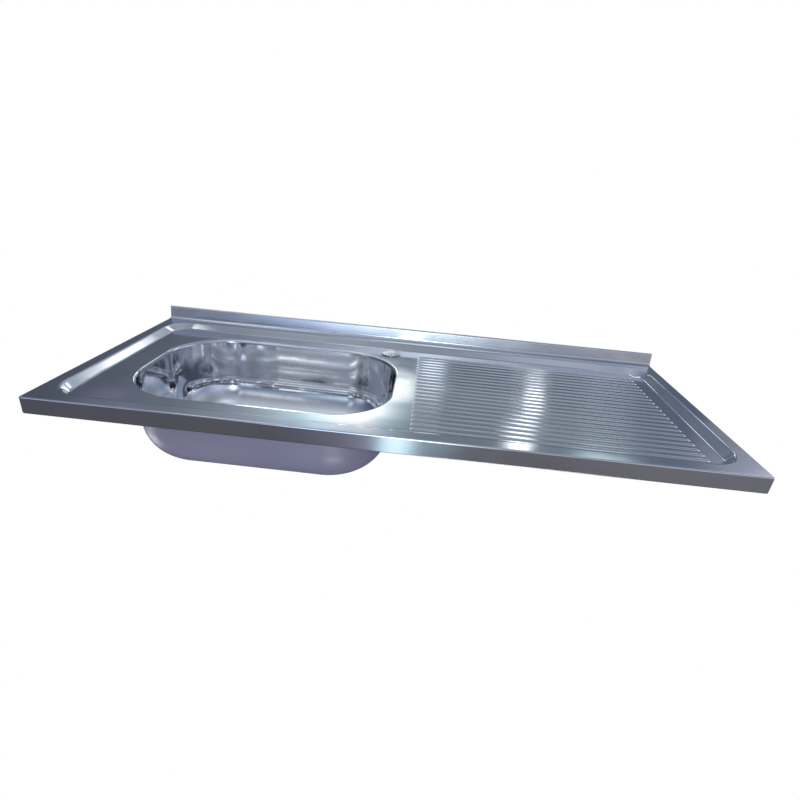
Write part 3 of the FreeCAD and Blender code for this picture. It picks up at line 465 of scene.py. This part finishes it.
GAUGE = 0.0008
HALF_LENGTH = 0.6
FRONT = -0.0075
BACK = 0.4925
RIM = 0.030
PAN_DEPTH = 0.009
RIM_WIDTHS = {"side": 0.022, "front": 0.024, "back": 0.026}
RAMP_WIDTHS = {"side": 0.025, "front": 0.015, "back": 0.030}
CREST_CORNERS = {"front": 0.060, "back": 0.058}
FOOT_CORNERS = {"front": 0.026, "back": 0.030}
RAMP_ROUND_SHARE = 0.18
DRAINER_START = 0.020
RIB_COUNT = 22
RIB_PITCH = 0.0172
RIB_FIRST = FRONT + 0.052
RIB_ENDS = (0.033, 0.528)
RIB_HALF_WIDTH = 0.0052
RIB_HEIGHT = 0.0018
EDGE_INSET = 0.006
EDGE_RADIUS = 0.0025
FOLD_RADIUS = 0.0016
PLAN_CORNER = 0.004
FLANGE_WIDTH = 0.015
COVE_START = BACK - 0.006
UPSTAND_TOP = 0.058
UPSTAND_LEAN = 0.003
UPSTAND_LIP = 0.008
UPSTAND_HOOK = 0.008
LIP_BEND = 0.0034
COVE_RADIUS = 0.006
MOUTH_CENTRE = (-0.254, 0.2295)
MOUTH_HALF = (0.2435, 0.163)
MOUTH_CORNER = 0.117
MOUTH_ROLL = 0.006
MOUTH_DROP = 0.008
TAP_PLACE = (-0.031, 0.4105)
TAP_HOLE_RADIUS = 0.0175

# How finely the grids are cut. Rows across a rib stand at shares of the ribs' pitch.
RAMP_HALVINGS = 30
SLOPE_STEP = 2e-5
RIB_ROWS = (-0.5, -0.3, -0.2, -0.1, 0, 0.1, 0.2, 0.3)
FRONT_ROWS = 21
BACK_ROWS = 26
RIB_END_ZONE = 0.008
COLUMNS = {"before ribs": 13, "ribs": 13, "ramp": 38}
SIDE_POINTS = {"long": 100, "short": 80}
MOUTH_LOOPS = 33
MOUTH_CROWDING = 1.3
MOUTH_STEPS = (60, 90)
ARC_STEPS = 24
CORNER_STEPS = 6


def outline_gap(x, y, share):
    """Signed distance to the ramp's outline at a share of its run: a rectangle with
    rounded corners that shrinks from the crest to the foot."""
    side = HALF_LENGTH - RIM_WIDTHS["side"] - RAMP_WIDTHS["side"] * share
    near = FRONT + RIM_WIDTHS["front"] + RAMP_WIDTHS["front"] * share
    far = BACK - RIM_WIDTHS["back"] - RAMP_WIDTHS["back"] * share
    front_corner = CREST_CORNERS["front"] + (FOOT_CORNERS["front"] - CREST_CORNERS["front"]) * share
    back_corner = CREST_CORNERS["back"] + (FOOT_CORNERS["back"] - CREST_CORNERS["back"]) * share
    fore = y < (near + far) / 2
    corner = np.where(fore, front_corner, back_corner)
    past_side = np.abs(x) - side + corner
    past_end = np.where(fore, near - y, y - far) + corner
    outside = np.hypot(np.maximum(past_side, 0), np.maximum(past_end, 0))
    return outside + np.minimum(np.maximum(past_side, past_end), 0) - corner


def ramp_fall(x, y):
    """Share of the pan's depth reached at a place: 0 on the rim, 1 in the pan, and on
    the ramp a straight fall with a rounded start and end."""
    low, high = np.zeros_like(x), np.ones_like(x)
    for _ in range(RAMP_HALVINGS):
        middle = (low + high) / 2
        inside = outline_gap(x, y, middle) < 0
        low, high = np.where(inside, middle, low), np.where(inside, high, middle)
    share = (low + high) / 2
    start = share ** 2 / (2 * RAMP_ROUND_SHARE)
    straight = share - RAMP_ROUND_SHARE / 2
    end = 1 - RAMP_ROUND_SHARE - (1 - share) ** 2 / (2 * RAMP_ROUND_SHARE)
    later = np.where(share < 1 - RAMP_ROUND_SHARE, straight, end)
    return np.where(share < RAMP_ROUND_SHARE, start, later) / (1 - RAMP_ROUND_SHARE)


def rib_rise(x, y):
    """Height of the ribs at a place: a raised cosine across each rib and round its ends."""
    number = np.clip(np.round((y - RIB_FIRST) / RIB_PITCH), 0, RIB_COUNT - 1)
    from_row = y - RIB_FIRST - number * RIB_PITCH
    left, right = RIB_ENDS[0] + RIB_HALF_WIDTH, RIB_ENDS[1] - RIB_HALF_WIDTH
    from_end = np.maximum(np.maximum(left - x, x - right), 0)
    reach = np.minimum(np.hypot(from_row, from_end) / RIB_HALF_WIDTH, 1)
    return RIB_HEIGHT * (1 + np.cos(math.pi * reach)) / 2


def deck_height(x, y):
    """Height of the pressing's upper face at a place."""
    return RIM - PAN_DEPTH * ramp_fall(x, y) + rib_rise(x, y)


def deck_patch(x, y):
    """Points of the deck at plan places, with normals from the height's slopes."""
    step = SLOPE_STEP
    slope_x = (deck_height(x + step, y) - deck_height(x - step, y)) / (2 * step)
    slope_y = (deck_height(x, y + step) - deck_height(x, y - step)) / (2 * step)
    normals = unit(np.stack([-slope_x, -slope_y, np.ones_like(x)], axis=-1))
    return np.stack([x, y, deck_height(x, y)], axis=-1), normals


def deck_rows():
    """Places of the rows from front to back, close together across every rib."""
    ramp_foot = FRONT + RIM_WIDTHS["front"] + RAMP_WIDTHS["front"]
    back_foot = BACK - RIM_WIDTHS["back"] - RAMP_WIDTHS["back"]
    rows = (RIB_FIRST + RIB_PITCH * (np.arange(RIB_COUNT)[:, None] + np.array(RIB_ROWS))).ravel()
    return np.concatenate([
        np.linspace(FRONT + EDGE_INSET, ramp_foot, FRONT_ROWS, endpoint=False),
        rows[(rows > ramp_foot) & (rows < back_foot)],
        np.linspace(back_foot, COVE_START, BACK_ROWS),
    ])


def drainer_columns():
    """Places of the columns from the drainer's start to the right edge: few along the
    ribs, which run straight, and more over their ends and the ramp."""
    first, last = RIB_ENDS[0] + RIB_END_ZONE, RIB_ENDS[1] - RIB_END_ZONE
    return np.concatenate([
        np.linspace(DRAINER_START, first, COLUMNS["before ribs"], endpoint=False),
        np.linspace(first, last, COLUMNS["ribs"], endpoint=False),
        np.linspace(last, HALF_LENGTH - EDGE_INSET, COLUMNS["ramp"]),
    ])


def mouth_patches(sides):
    """The lip turned down at the bowl's mouth, and the deck between the mouth and the
    four sides round it. Each side is joined to its own stretch of the mouth's loop."""
    outline, outline_away = loop_around(ARC_STEPS, MOUTH_STEPS, MOUTH_HALF, MOUTH_CORNER)
    lengths = np.concatenate([[0], np.cumsum(np.linalg.norm(np.diff(outline, axis=0), axis=1))])
    arc = MOUTH_CORNER * math.pi / 2
    runs = (2 * (MOUTH_HALF[1] - MOUTH_CORNER) + arc, 2 * (MOUTH_HALF[0] - MOUTH_CORNER) + arc)
    station = lengths[ARC_STEPS // 2]
    stations = []
    for number, side in enumerate(sides):
        way = np.linalg.norm(side - side[0], axis=1)
        stations.append(station + way / way[-1] * runs[number % 2])
        station += runs[number % 2]
    stations = np.concatenate(stations) % lengths[-1]
    loop, away = (np.stack([np.interp(stations, lengths, line[:, axis]) for axis in (0, 1)], axis=1)
                  for line in (outline, outline_away))
    loop, away = loop + MOUTH_CENTRE, unit(away)
    pan = RIM - PAN_DEPTH
    lip = swept_patch(loop, away, rounded_profile([
        (0, pan - MOUTH_DROP, 0), (0, pan, MOUTH_ROLL), (MOUTH_ROLL, pan, 0)]))
    shares = (1 - (1 - np.linspace(0, 1, MOUTH_LOOPS)) ** MOUTH_CROWDING)[:, None, None]
    plan = (loop + away * MOUTH_ROLL) * (1 - shares) + np.concatenate(sides) * shares
    return [lip, deck_patch(plan[..., 0], plan[..., 1])]


def folded_edge(left_run, front_run, right_run):
    """The apron and its flange, drawn along the left side, the front and the right side;
    at a corner the profile turns about a fixed centre as far as it lies outside it."""
    profile, normals = rounded_profile([
        (FLANGE_WIDTH, 0, 0), (0, 0, FOLD_RADIUS), (0, RIM, EDGE_RADIUS), (EDGE_INSET, RIM, 0)])
    swing = np.linspace(0, math.pi / 2, CORNER_STEPS + 1)
    outward = np.concatenate([
        np.tile((-1, 0), (len(left_run), 1)),
        np.column_stack([-np.cos(swing), -np.sin(swing)]),
        np.tile((0, -1), (len(front_run), 1)),
        np.column_stack([np.sin(swing), -np.cos(swing)]),
        np.tile((1, 0), (len(right_run), 1)),
    ])
    grid = []
    for inset, height in profile:
        reach = max(inset, PLAN_CORNER)
        side, near = HALF_LENGTH - reach, FRONT + reach
        centres = np.concatenate([
            np.column_stack([np.full(len(left_run), -side), np.maximum(left_run, near)]),
            np.tile((-side, near), (len(swing), 1)),
            np.column_stack([np.clip(front_run, -side, side), np.full(len(front_run), near)]),
            np.tile((side, near), (len(swing), 1)),
            np.column_stack([np.full(len(right_run), side), np.maximum(right_run, near)]),
        ])
        places = centres + outward * (reach - inset)
        grid.append(np.column_stack([places, np.full(len(places), height)]))
    return np.array(grid), swept(-outward, normals)


def upstand_patch(along):
    """The cove behind the deck, the upstand and its lip with the hook behind."""
    wall_top = BACK + UPSTAND_LEAN
    lip_end = wall_top + UPSTAND_LIP
    profile = rounded_profile([
        (COVE_START, RIM, 0), (BACK, RIM, COVE_RADIUS), (wall_top, UPSTAND_TOP, LIP_BEND),
        (lip_end, UPSTAND_TOP, LIP_BEND), (lip_end, UPSTAND_TOP - UPSTAND_HOOK, 0)])
    places = np.column_stack([along, np.zeros(len(along))])
    return swept_patch(places, np.tile((0, 1), (len(along), 1)), profile)


def deck_patches():
    """All grids of the deck. Neighbours share the points along their common line."""
    rows, columns = deck_rows(), drainer_columns()
    low, high, side = rows[0], rows[-1], columns[-1]
    corners = ((DRAINER_START, high), (-side, high), (-side, low), (DRAINER_START, low))
    sides = [np.column_stack([np.full(len(rows), DRAINER_START), rows])]
    for start, end, run in zip(corners, corners[1:], ("long", "short", "long")):
        sides.append(np.linspace(start, end, SIDE_POINTS[run]))
    _, back_side, left_side, front_side = sides
    return [
        *mouth_patches(sides),
        deck_patch(*np.meshgrid(columns, rows)),
        folded_edge(left_side[:, 1], np.concatenate([front_side[:, 0], columns[1:]]), rows),
        upstand_patch(np.concatenate([
            [-HALF_LENGTH], back_side[::-1, 0], columns[1:], [HALF_LENGTH]])),
    ]


def sink_steel():
    """Cold-rolled steel with a fine brush along its length, smears and a slight wave;
    the upstand is duller than the deck."""
    finish = Finish("sink_steel", Metallic=1.0)
    satin = finish.ramp(finish.height(), RIM + 0.003, RIM + 0.009)
    brush = finish.noise(60, stretch=(0.6, 30, 30), detail=3.0)
    smear = finish.noise(9, stretch=(1, 1.6, 1), detail=4.0, Distortion=0.6)
    wave = finish.noise(7, stretch=(1, 1.4, 1), detail=1.0)
    finish.set(Base_Color=finish.blend(smear, (0.60, 0.60, 0.63, 1), (0.74, 0.76, 0.79, 1)))
    finish.set(Roughness=0.045 + smear * 0.06 + brush * 0.03 + satin * 0.13)
    finish.bump(wave * 0.8 + brush * 0.006, 0.0012)
    return finish.material


deck = sheet_piece("deck", deck_patches(), GAUGE, sink_steel(), hole=(TAP_PLACE, TAP_HOLE_RADIUS))
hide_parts("sink_top")
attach(deck, "sink")


# Bowl: deep-drawn from the same steel, polished inside and welded under the mouth's lip,
# with a round recess in its floor for the waste.

BOWL_FLOOR = -0.139
BOWL_DRAFT = math.radians(1)
BOWL_FLOOR_RADIUS = 0.076
RECESS_RADIUS = 0.060
RECESS_DEPTH = 0.004
RECESS_BEND = 0.003
RECESS_FOOT_BEND = 0.0012
WASTE_HOLE_RADIUS = 0.043
WELD_HEIGHT = RIM - PAN_DEPTH - MOUTH_DROP
RING_WIDTH = 0.001
WALL_LOOPS = 8
FOOT_STEPS = 24
FLOOR_LOOPS = 12
RECESS_STEPS = 6
BOWL_STEPS = (24, 40)


def bowl_patches(grow, hole_radius, top, outward):
    """Loops of the bowl's wall drawn in by the draft and the floor's rounding, then loops
    from the floor's edge to the recess's circle, then the recess, all of it grown by
    grow. Where the hole is wider than the recess, a narrow ring takes its place."""
    sign = 1 if outward else -1
    floor_height = BOWL_FLOOR - grow
    rounding = BOWL_FLOOR_RADIUS + grow
    bend_height = floor_height + rounding
    slope = math.tan(BOWL_DRAFT)
    straight = np.linspace(top, bend_height, WALL_LOOPS, endpoint=False)
    angles = np.linspace(0, math.pi / 2, FOOT_STEPS + 1)
    heights = np.concatenate([straight, bend_height - rounding * np.sin(angles)])
    foot_insets = (WELD_HEIGHT - bend_height) * slope + rounding * (1 - np.cos(angles))
    insets = np.concatenate([(WELD_HEIGHT - straight) * slope, foot_insets])
    leans = np.concatenate([np.zeros(WALL_LOOPS), angles])
    half = (MOUTH_HALF[0] + grow, MOUTH_HALF[1] + grow)
    loops, slopes = [], []
    for height, inset, lean in zip(heights, insets, leans):
        places, away = loop_around(ARC_STEPS, BOWL_STEPS, half, MOUTH_CORNER + grow, inset)
        loops.append(np.column_stack([places + MOUTH_CENTRE, np.full(len(places), height)]))
        down = np.full(len(places), -math.sin(lean))
        slopes.append(np.column_stack([away * math.cos(lean), down]) * sign)
    edge = loops[-1]
    bearing = unit(edge[:, :2] - MOUTH_CENTRE)
    if hole_radius > RECESS_RADIUS:
        profile = np.array([(hole_radius + RING_WIDTH, floor_height), (hole_radius, floor_height)])
        facing = np.array([(0, -1), (0, -1)]) * sign
    else:
        # The recess faces the other way from the floor, so its sheet lies above the profile.
        radius, bottom = RECESS_RADIUS + grow, floor_height - RECESS_DEPTH
        profile, facing = rounded_profile([
            (radius + RECESS_BEND * 2, floor_height, 0), (radius, floor_height, RECESS_BEND),
            (radius, bottom, RECESS_FOOT_BEND), (hole_radius, bottom, 0)], pieces=RECESS_STEPS)
        facing = facing * -sign
    circle = swept_patch(MOUTH_CENTRE, bearing, (profile[:1], facing[:1]))[0]
    shares = np.linspace(0, 1, FLOOR_LOOPS)[:, None, None]
    floor_points = edge * (1 - shares) + circle * shares
    floor_normals = np.zeros_like(floor_points) + (0, 0, -sign)
    return [
        (np.array(loops), np.array(slopes)),
        (floor_points, floor_normals),
        swept_patch(MOUTH_CENTRE, bearing, (profile, facing)),
    ]


def bowl_steel():
    """The same steel polished, in a lighter colour than the deck's that is partly painted light for the
    bowl's inside, with soft drawing marks down the walls.
    """
    finish = Finish("bowl_steel", Metallic=1.0)
    polish = finish.noise(14, stretch=(1, 1, 0.25), detail=3.0)
    marks = finish.noise(120, stretch=(1, 1, 0.04), detail=2.0)
    # Lighter than the deck's steel: partly the polish, partly painted light that makes up for light lost
    # between the bowl's walls.
    finish.set(Base_Color=finish.blend(polish, (0.74, 0.75, 0.78, 1), (0.82, 0.82, 0.84, 1)))
    finish.set(Roughness=0.05 + polish * 0.05 + marks * 0.03)
    finish.bump(polish * 0.8 + marks * 0.02, 0.001)
    return finish.material


bowl_grids = bowl_patches(grow=0.0, hole_radius=WASTE_HOLE_RADIUS, top=WELD_HEIGHT, outward=False)
bowl = sheet_piece("bowl_skin", bowl_grids, GAUGE, bowl_steel())
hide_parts("bowl")
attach(bowl, "sink")


# Sound coat: a sprayed coat a millimetre thick on the outside of the bowl, smooth and
# grey with a violet cast, that stops short of the weld and of the recess.

COAT_GROW = 0.002
COAT_THICKNESS = 0.001
COAT_TOP = 0.005
COAT_HOLE_RADIUS = 0.064


def coat_paint():
    """Sprayed coat: fine orange peel, a faint drift of colour and a dull sheen."""
    finish = Finish("coat_paint", Specular_IOR_Level=0.7)
    drift = finish.noise(8, detail=3.0)
    peel = finish.noise(420, detail=1.0)
    finish.set(Base_Color=finish.blend(drift, (0.13, 0.13, 0.21, 1), (0.17, 0.17, 0.26, 1)))
    finish.set(Roughness=0.34 + drift * 0.10)
    finish.bump(peel, 0.00008)
    return finish.material


coat_grids = bowl_patches(grow=COAT_GROW, hole_radius=COAT_HOLE_RADIUS, top=COAT_TOP, outward=True)
coat = sheet_piece("sound_coat", coat_grids, COAT_THICKNESS, coat_paint())
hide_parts("bowl_sound_coat")
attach(coat, "sink")


# Tap hole cover: a shallow domed cap of bright steel on a rubber ring, drawn down through
# the deck by its stud, a zinc-plated plate and a wing nut.

MERGE_DISTANCE = 1e-6
FLAT_BELOW = math.radians(0.5)
SMOOTH_BELOW = math.radians(32)


def dressed_copy(node, body, material, bevel=0.0):
    """Copy of a solid with its doubles merged and its flat facets joined. Edges flatter
    than SMOOTH_BELOW are shaded smooth; a bevel rounds the sharper ones."""
    form = bmesh.new()
    form.from_mesh(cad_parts[node].data)
    bmesh.ops.remove_doubles(form, verts=form.verts, dist=MERGE_DISTANCE)
    bmesh.ops.dissolve_limit(form, angle_limit=FLAT_BELOW, verts=form.verts, edges=form.edges)
    mesh = bpy.data.meshes.new(node + "_dressed")
    form.to_mesh(mesh)
    form.free()
    mesh.materials.append(material)
    mesh.shade_smooth()
    mesh.set_sharp_from_angle(angle=SMOOTH_BELOW)
    thing = new_object(node + "_dressed", mesh)
    if bevel:
        rounding = thing.modifiers.new("worn_edges", "BEVEL")
        rounding.width = bevel
        rounding.segments = 2
        rounding.limit_method = "ANGLE"
        rounding.angle_limit = SMOOTH_BELOW
        rounding.harden_normals = True
    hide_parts(node)
    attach(thing, body)


def turned_steel(name, centre, pitch):
    """Bright steel with the fine rings that turning or spinning leaves round its centre."""
    finish = Finish(name, Metallic=1.0)
    from_centre = finish.places(stretch=(1, 1, 0), shift=(-centre[0], -centre[1], 0))
    reach = finish.add("ShaderNodeVectorMath", "Value", settings={"operation": "LENGTH"},
                       Vector=from_centre)
    rings = (reach * (2 * math.pi / pitch)).sine()
    smear = finish.noise(60, detail=3.0)
    finish.set(Base_Color=finish.blend(smear, (0.60, 0.60, 0.62, 1), (0.74, 0.74, 0.76, 1)))
    finish.set(Roughness=0.16 + smear * 0.12)
    finish.bump(rings * 0.5 + smear * 0.6, 0.00004)
    return finish.material


def zinc_plate():
    """Zinc plating with a blue tinge, dull blotches and a fine crystalline grain."""
    finish = Finish("zinc_plate", Metallic=1.0)
    blotch = finish.noise(90, detail=4.0)
    grain = finish.noise(1400, detail=1.0)
    dull = finish.ramp(blotch, 0.35, 0.7)
    finish.set(Base_Color=finish.blend(dull, (0.50, 0.53, 0.58, 1), (0.66, 0.66, 0.62, 1)))
    finish.set(Roughness=0.28 + blotch * 0.20)
    finish.bump(grain + blotch * 0.6, 0.00006)
    return finish.material


def seal_rubber():
    """Black moulded rubber with a faint bloom and a pebbled skin."""
    finish = Finish("seal_rubber", Specular_IOR_Level=0.4)
    bloom = finish.noise(70, detail=3.0)
    skin = finish.noise(900, detail=2.0)
    finish.set(Base_Color=finish.blend(bloom, (0.018, 0.018, 0.019, 1), (0.040, 0.040, 0.042, 1)))
    finish.set(Roughness=0.62 + bloom * 0.2)
    finish.bump(skin, 0.00008)
    return finish.material


zinc = zinc_plate()
rubber = seal_rubber()
cap_steel = turned_steel("cover_steel", TAP_PLACE, pitch=0.0006)
dressed_copy("tap_hole_cover", "sink", cap_steel, bevel=0.0002)
dressed_copy("cover_seal", "sink", rubber, bevel=0.0002)
dressed_copy("cover_clamp_plate", "sink", zinc, bevel=0.0003)
dressed_copy("cover_wing_nut", "sink", zinc, bevel=0.0003)


# Edge channels, hat rails and corner plates: folded from galvanised strip and spot-welded
# under the pressing so that the thin deck doesn't flex.

CORNERS = ("front_left", "front_right", "rear_left", "rear_right")
STRIP_PARTS = ["front_edge_channel", "rear_edge_channel", "cross_rail_left"]
STRIP_PARTS += [f"cross_rail_drainer_{number}" for number in (1, 2, 3)]
STRIP_PARTS += [f"corner_plate_{corner}" for corner in CORNERS]


def galvanised_strip():
    """Hot-dip zinc: a patchwork of crystals of slightly different brightness and gloss."""
    finish = Finish("galvanised_strip", Metallic=1.0)
    spangle = finish.add("ShaderNodeTexVoronoi", "Color", Vector=finish.places(), Scale=160.0,
                         Randomness=1.0)
    shade = finish.add("ShaderNodeSeparateColor", "Red", Color=spangle)
    drift = finish.noise(25, detail=4.0)
    brightness = shade * 0.7 + drift * 0.3
    finish.set(Base_Color=finish.blend(brightness, (0.40, 0.42, 0.44, 1), (0.60, 0.62, 0.64, 1)))
    finish.set(Roughness=0.34 + shade * 0.16)
    finish.bump(shade * 0.5 + drift, 0.00006)
    return finish.material


galvanised = galvanised_strip()
for part in STRIP_PARTS:
    dressed_copy(part, "sink", galvanised, bevel=0.0003)


# Sound pads: cut from heavy bitumen felt and stuck under the drainer between the rails,
# where they keep the thin sheet from ringing.


def bitumen_felt():
    """Black felt: matted fibres in two directions over a slow drift of shade."""
    finish = Finish("bitumen_felt", Specular_IOR_Level=0.25)
    long_fibres = finish.noise(500, stretch=(0.25, 1, 1), detail=3.0, Distortion=1.5)
    cross_fibres = finish.noise(500, stretch=(1, 0.25, 1), detail=3.0, Distortion=1.5)
    fibres = long_fibres.maximum(cross_fibres)
    drift = finish.noise(18, detail=3.0)
    brightness = fibres * 0.6 + drift * 0.4
    finish.set(Base_Color=finish.blend(brightness, (0.020, 0.020, 0.021, 1), (0.085, 0.083, 0.080, 1)))
    finish.set(Roughness=0.82 + drift * 0.12)
    finish.bump(fibres, 0.0004)
    return finish.material


felt = bitumen_felt()
for number in (1, 2):
    dressed_copy(f"drainer_pad_{number}", "sink", felt, bevel=0.0005)


# Swing clips: a zinc-plated arm with a bent tooth at each corner, which turns on a bolt
# through the corner plate and is drawn up by a wing nut.

THREAD_PITCH = 0.001


def rolled_thread():
    """Zinc-plated bolt: ridges repeat along its height at the thread's pitch, with painted shade in the
    grooves and a painted highlight on the crests.
    """
    finish = Finish("rolled_thread", Metallic=1.0)
    ridge_and_groove_shade = (finish.height() * (2 * math.pi / THREAD_PITCH)).sine() * 0.5 + 0.5
    blotch = finish.noise(90, detail=4.0)
    brightness = ridge_and_groove_shade * 0.5 + blotch * 0.5
    # The colour follows the ridges: painted shade in the thread's grooves and a painted highlight on its
    # crests, mixed with dull blotches of the plating.
    finish.set(Base_Color=finish.blend(brightness, (0.34, 0.36, 0.40, 1), (0.66, 0.67, 0.66, 1)))
    finish.set(Roughness=0.28 + blotch * 0.2)
    finish.bump(ridge_and_groove_shade, 0.0004)
    return finish.material


for corner in CORNERS:
    dressed_copy(f"clip_arm_{corner}", f"clip_{corner}", zinc, bevel=0.0004)
dressed_copy("clip_bolts", "sink", rolled_thread(), bevel=0.0002)
dressed_copy("clip_wing_nuts", "sink", zinc, bevel=0.0003)


# Strainer waste: a spun steel dish with a threaded outlet, clamped in the bowl's recess
# between a rubber seal above and a rubber washer, a plastic ring and a plastic nut below.


def moulded_plastic():
    """White plastic with a satin skin, faint flow marks and fine grain."""
    finish = Finish("moulded_plastic", Specular_IOR_Level=0.5)
    flow = finish.noise(40, stretch=(1, 1, 0.4), detail=3.0)
    grain = finish.noise(1600, detail=1.0)
    finish.set(Base_Color=finish.blend(flow, (0.66, 0.66, 0.64, 1), (0.76, 0.76, 0.74, 1)))
    finish.set(Roughness=0.38 + flow * 0.12)
    finish.bump(grain, 0.00004)
    return finish.material


plastic = moulded_plastic()
dish_steel = turned_steel("waste_steel", MOUTH_CENTRE, pitch=0.0008)
dressed_copy("waste_body", "sink", dish_steel, bevel=0.0002)
dressed_copy("waste_flange_seal", "sink", rubber)
dressed_copy("waste_rubber_washer", "sink", rubber, bevel=0.0003)
dressed_copy("waste_friction_ring", "sink", plastic)
dressed_copy("waste_lock_nut", "sink", plastic, bevel=0.0005)


# Strainer basket: a pierced steel cup with a turned post and knob, and a rubber seal
# below, which lifts straight out of the waste.

cup_steel = turned_steel("basket_steel", MOUTH_CENTRE, pitch=0.0005)
post_steel = turned_steel("post_steel", MOUTH_CENTRE, pitch=0.0004)
dressed_copy("basket", "strainer_basket", cup_steel)
dressed_copy("basket_post", "strainer_basket", post_steel, bevel=0.0002)
dressed_copy("basket_seal", "strainer_basket", rubber, bevel=0.0003)
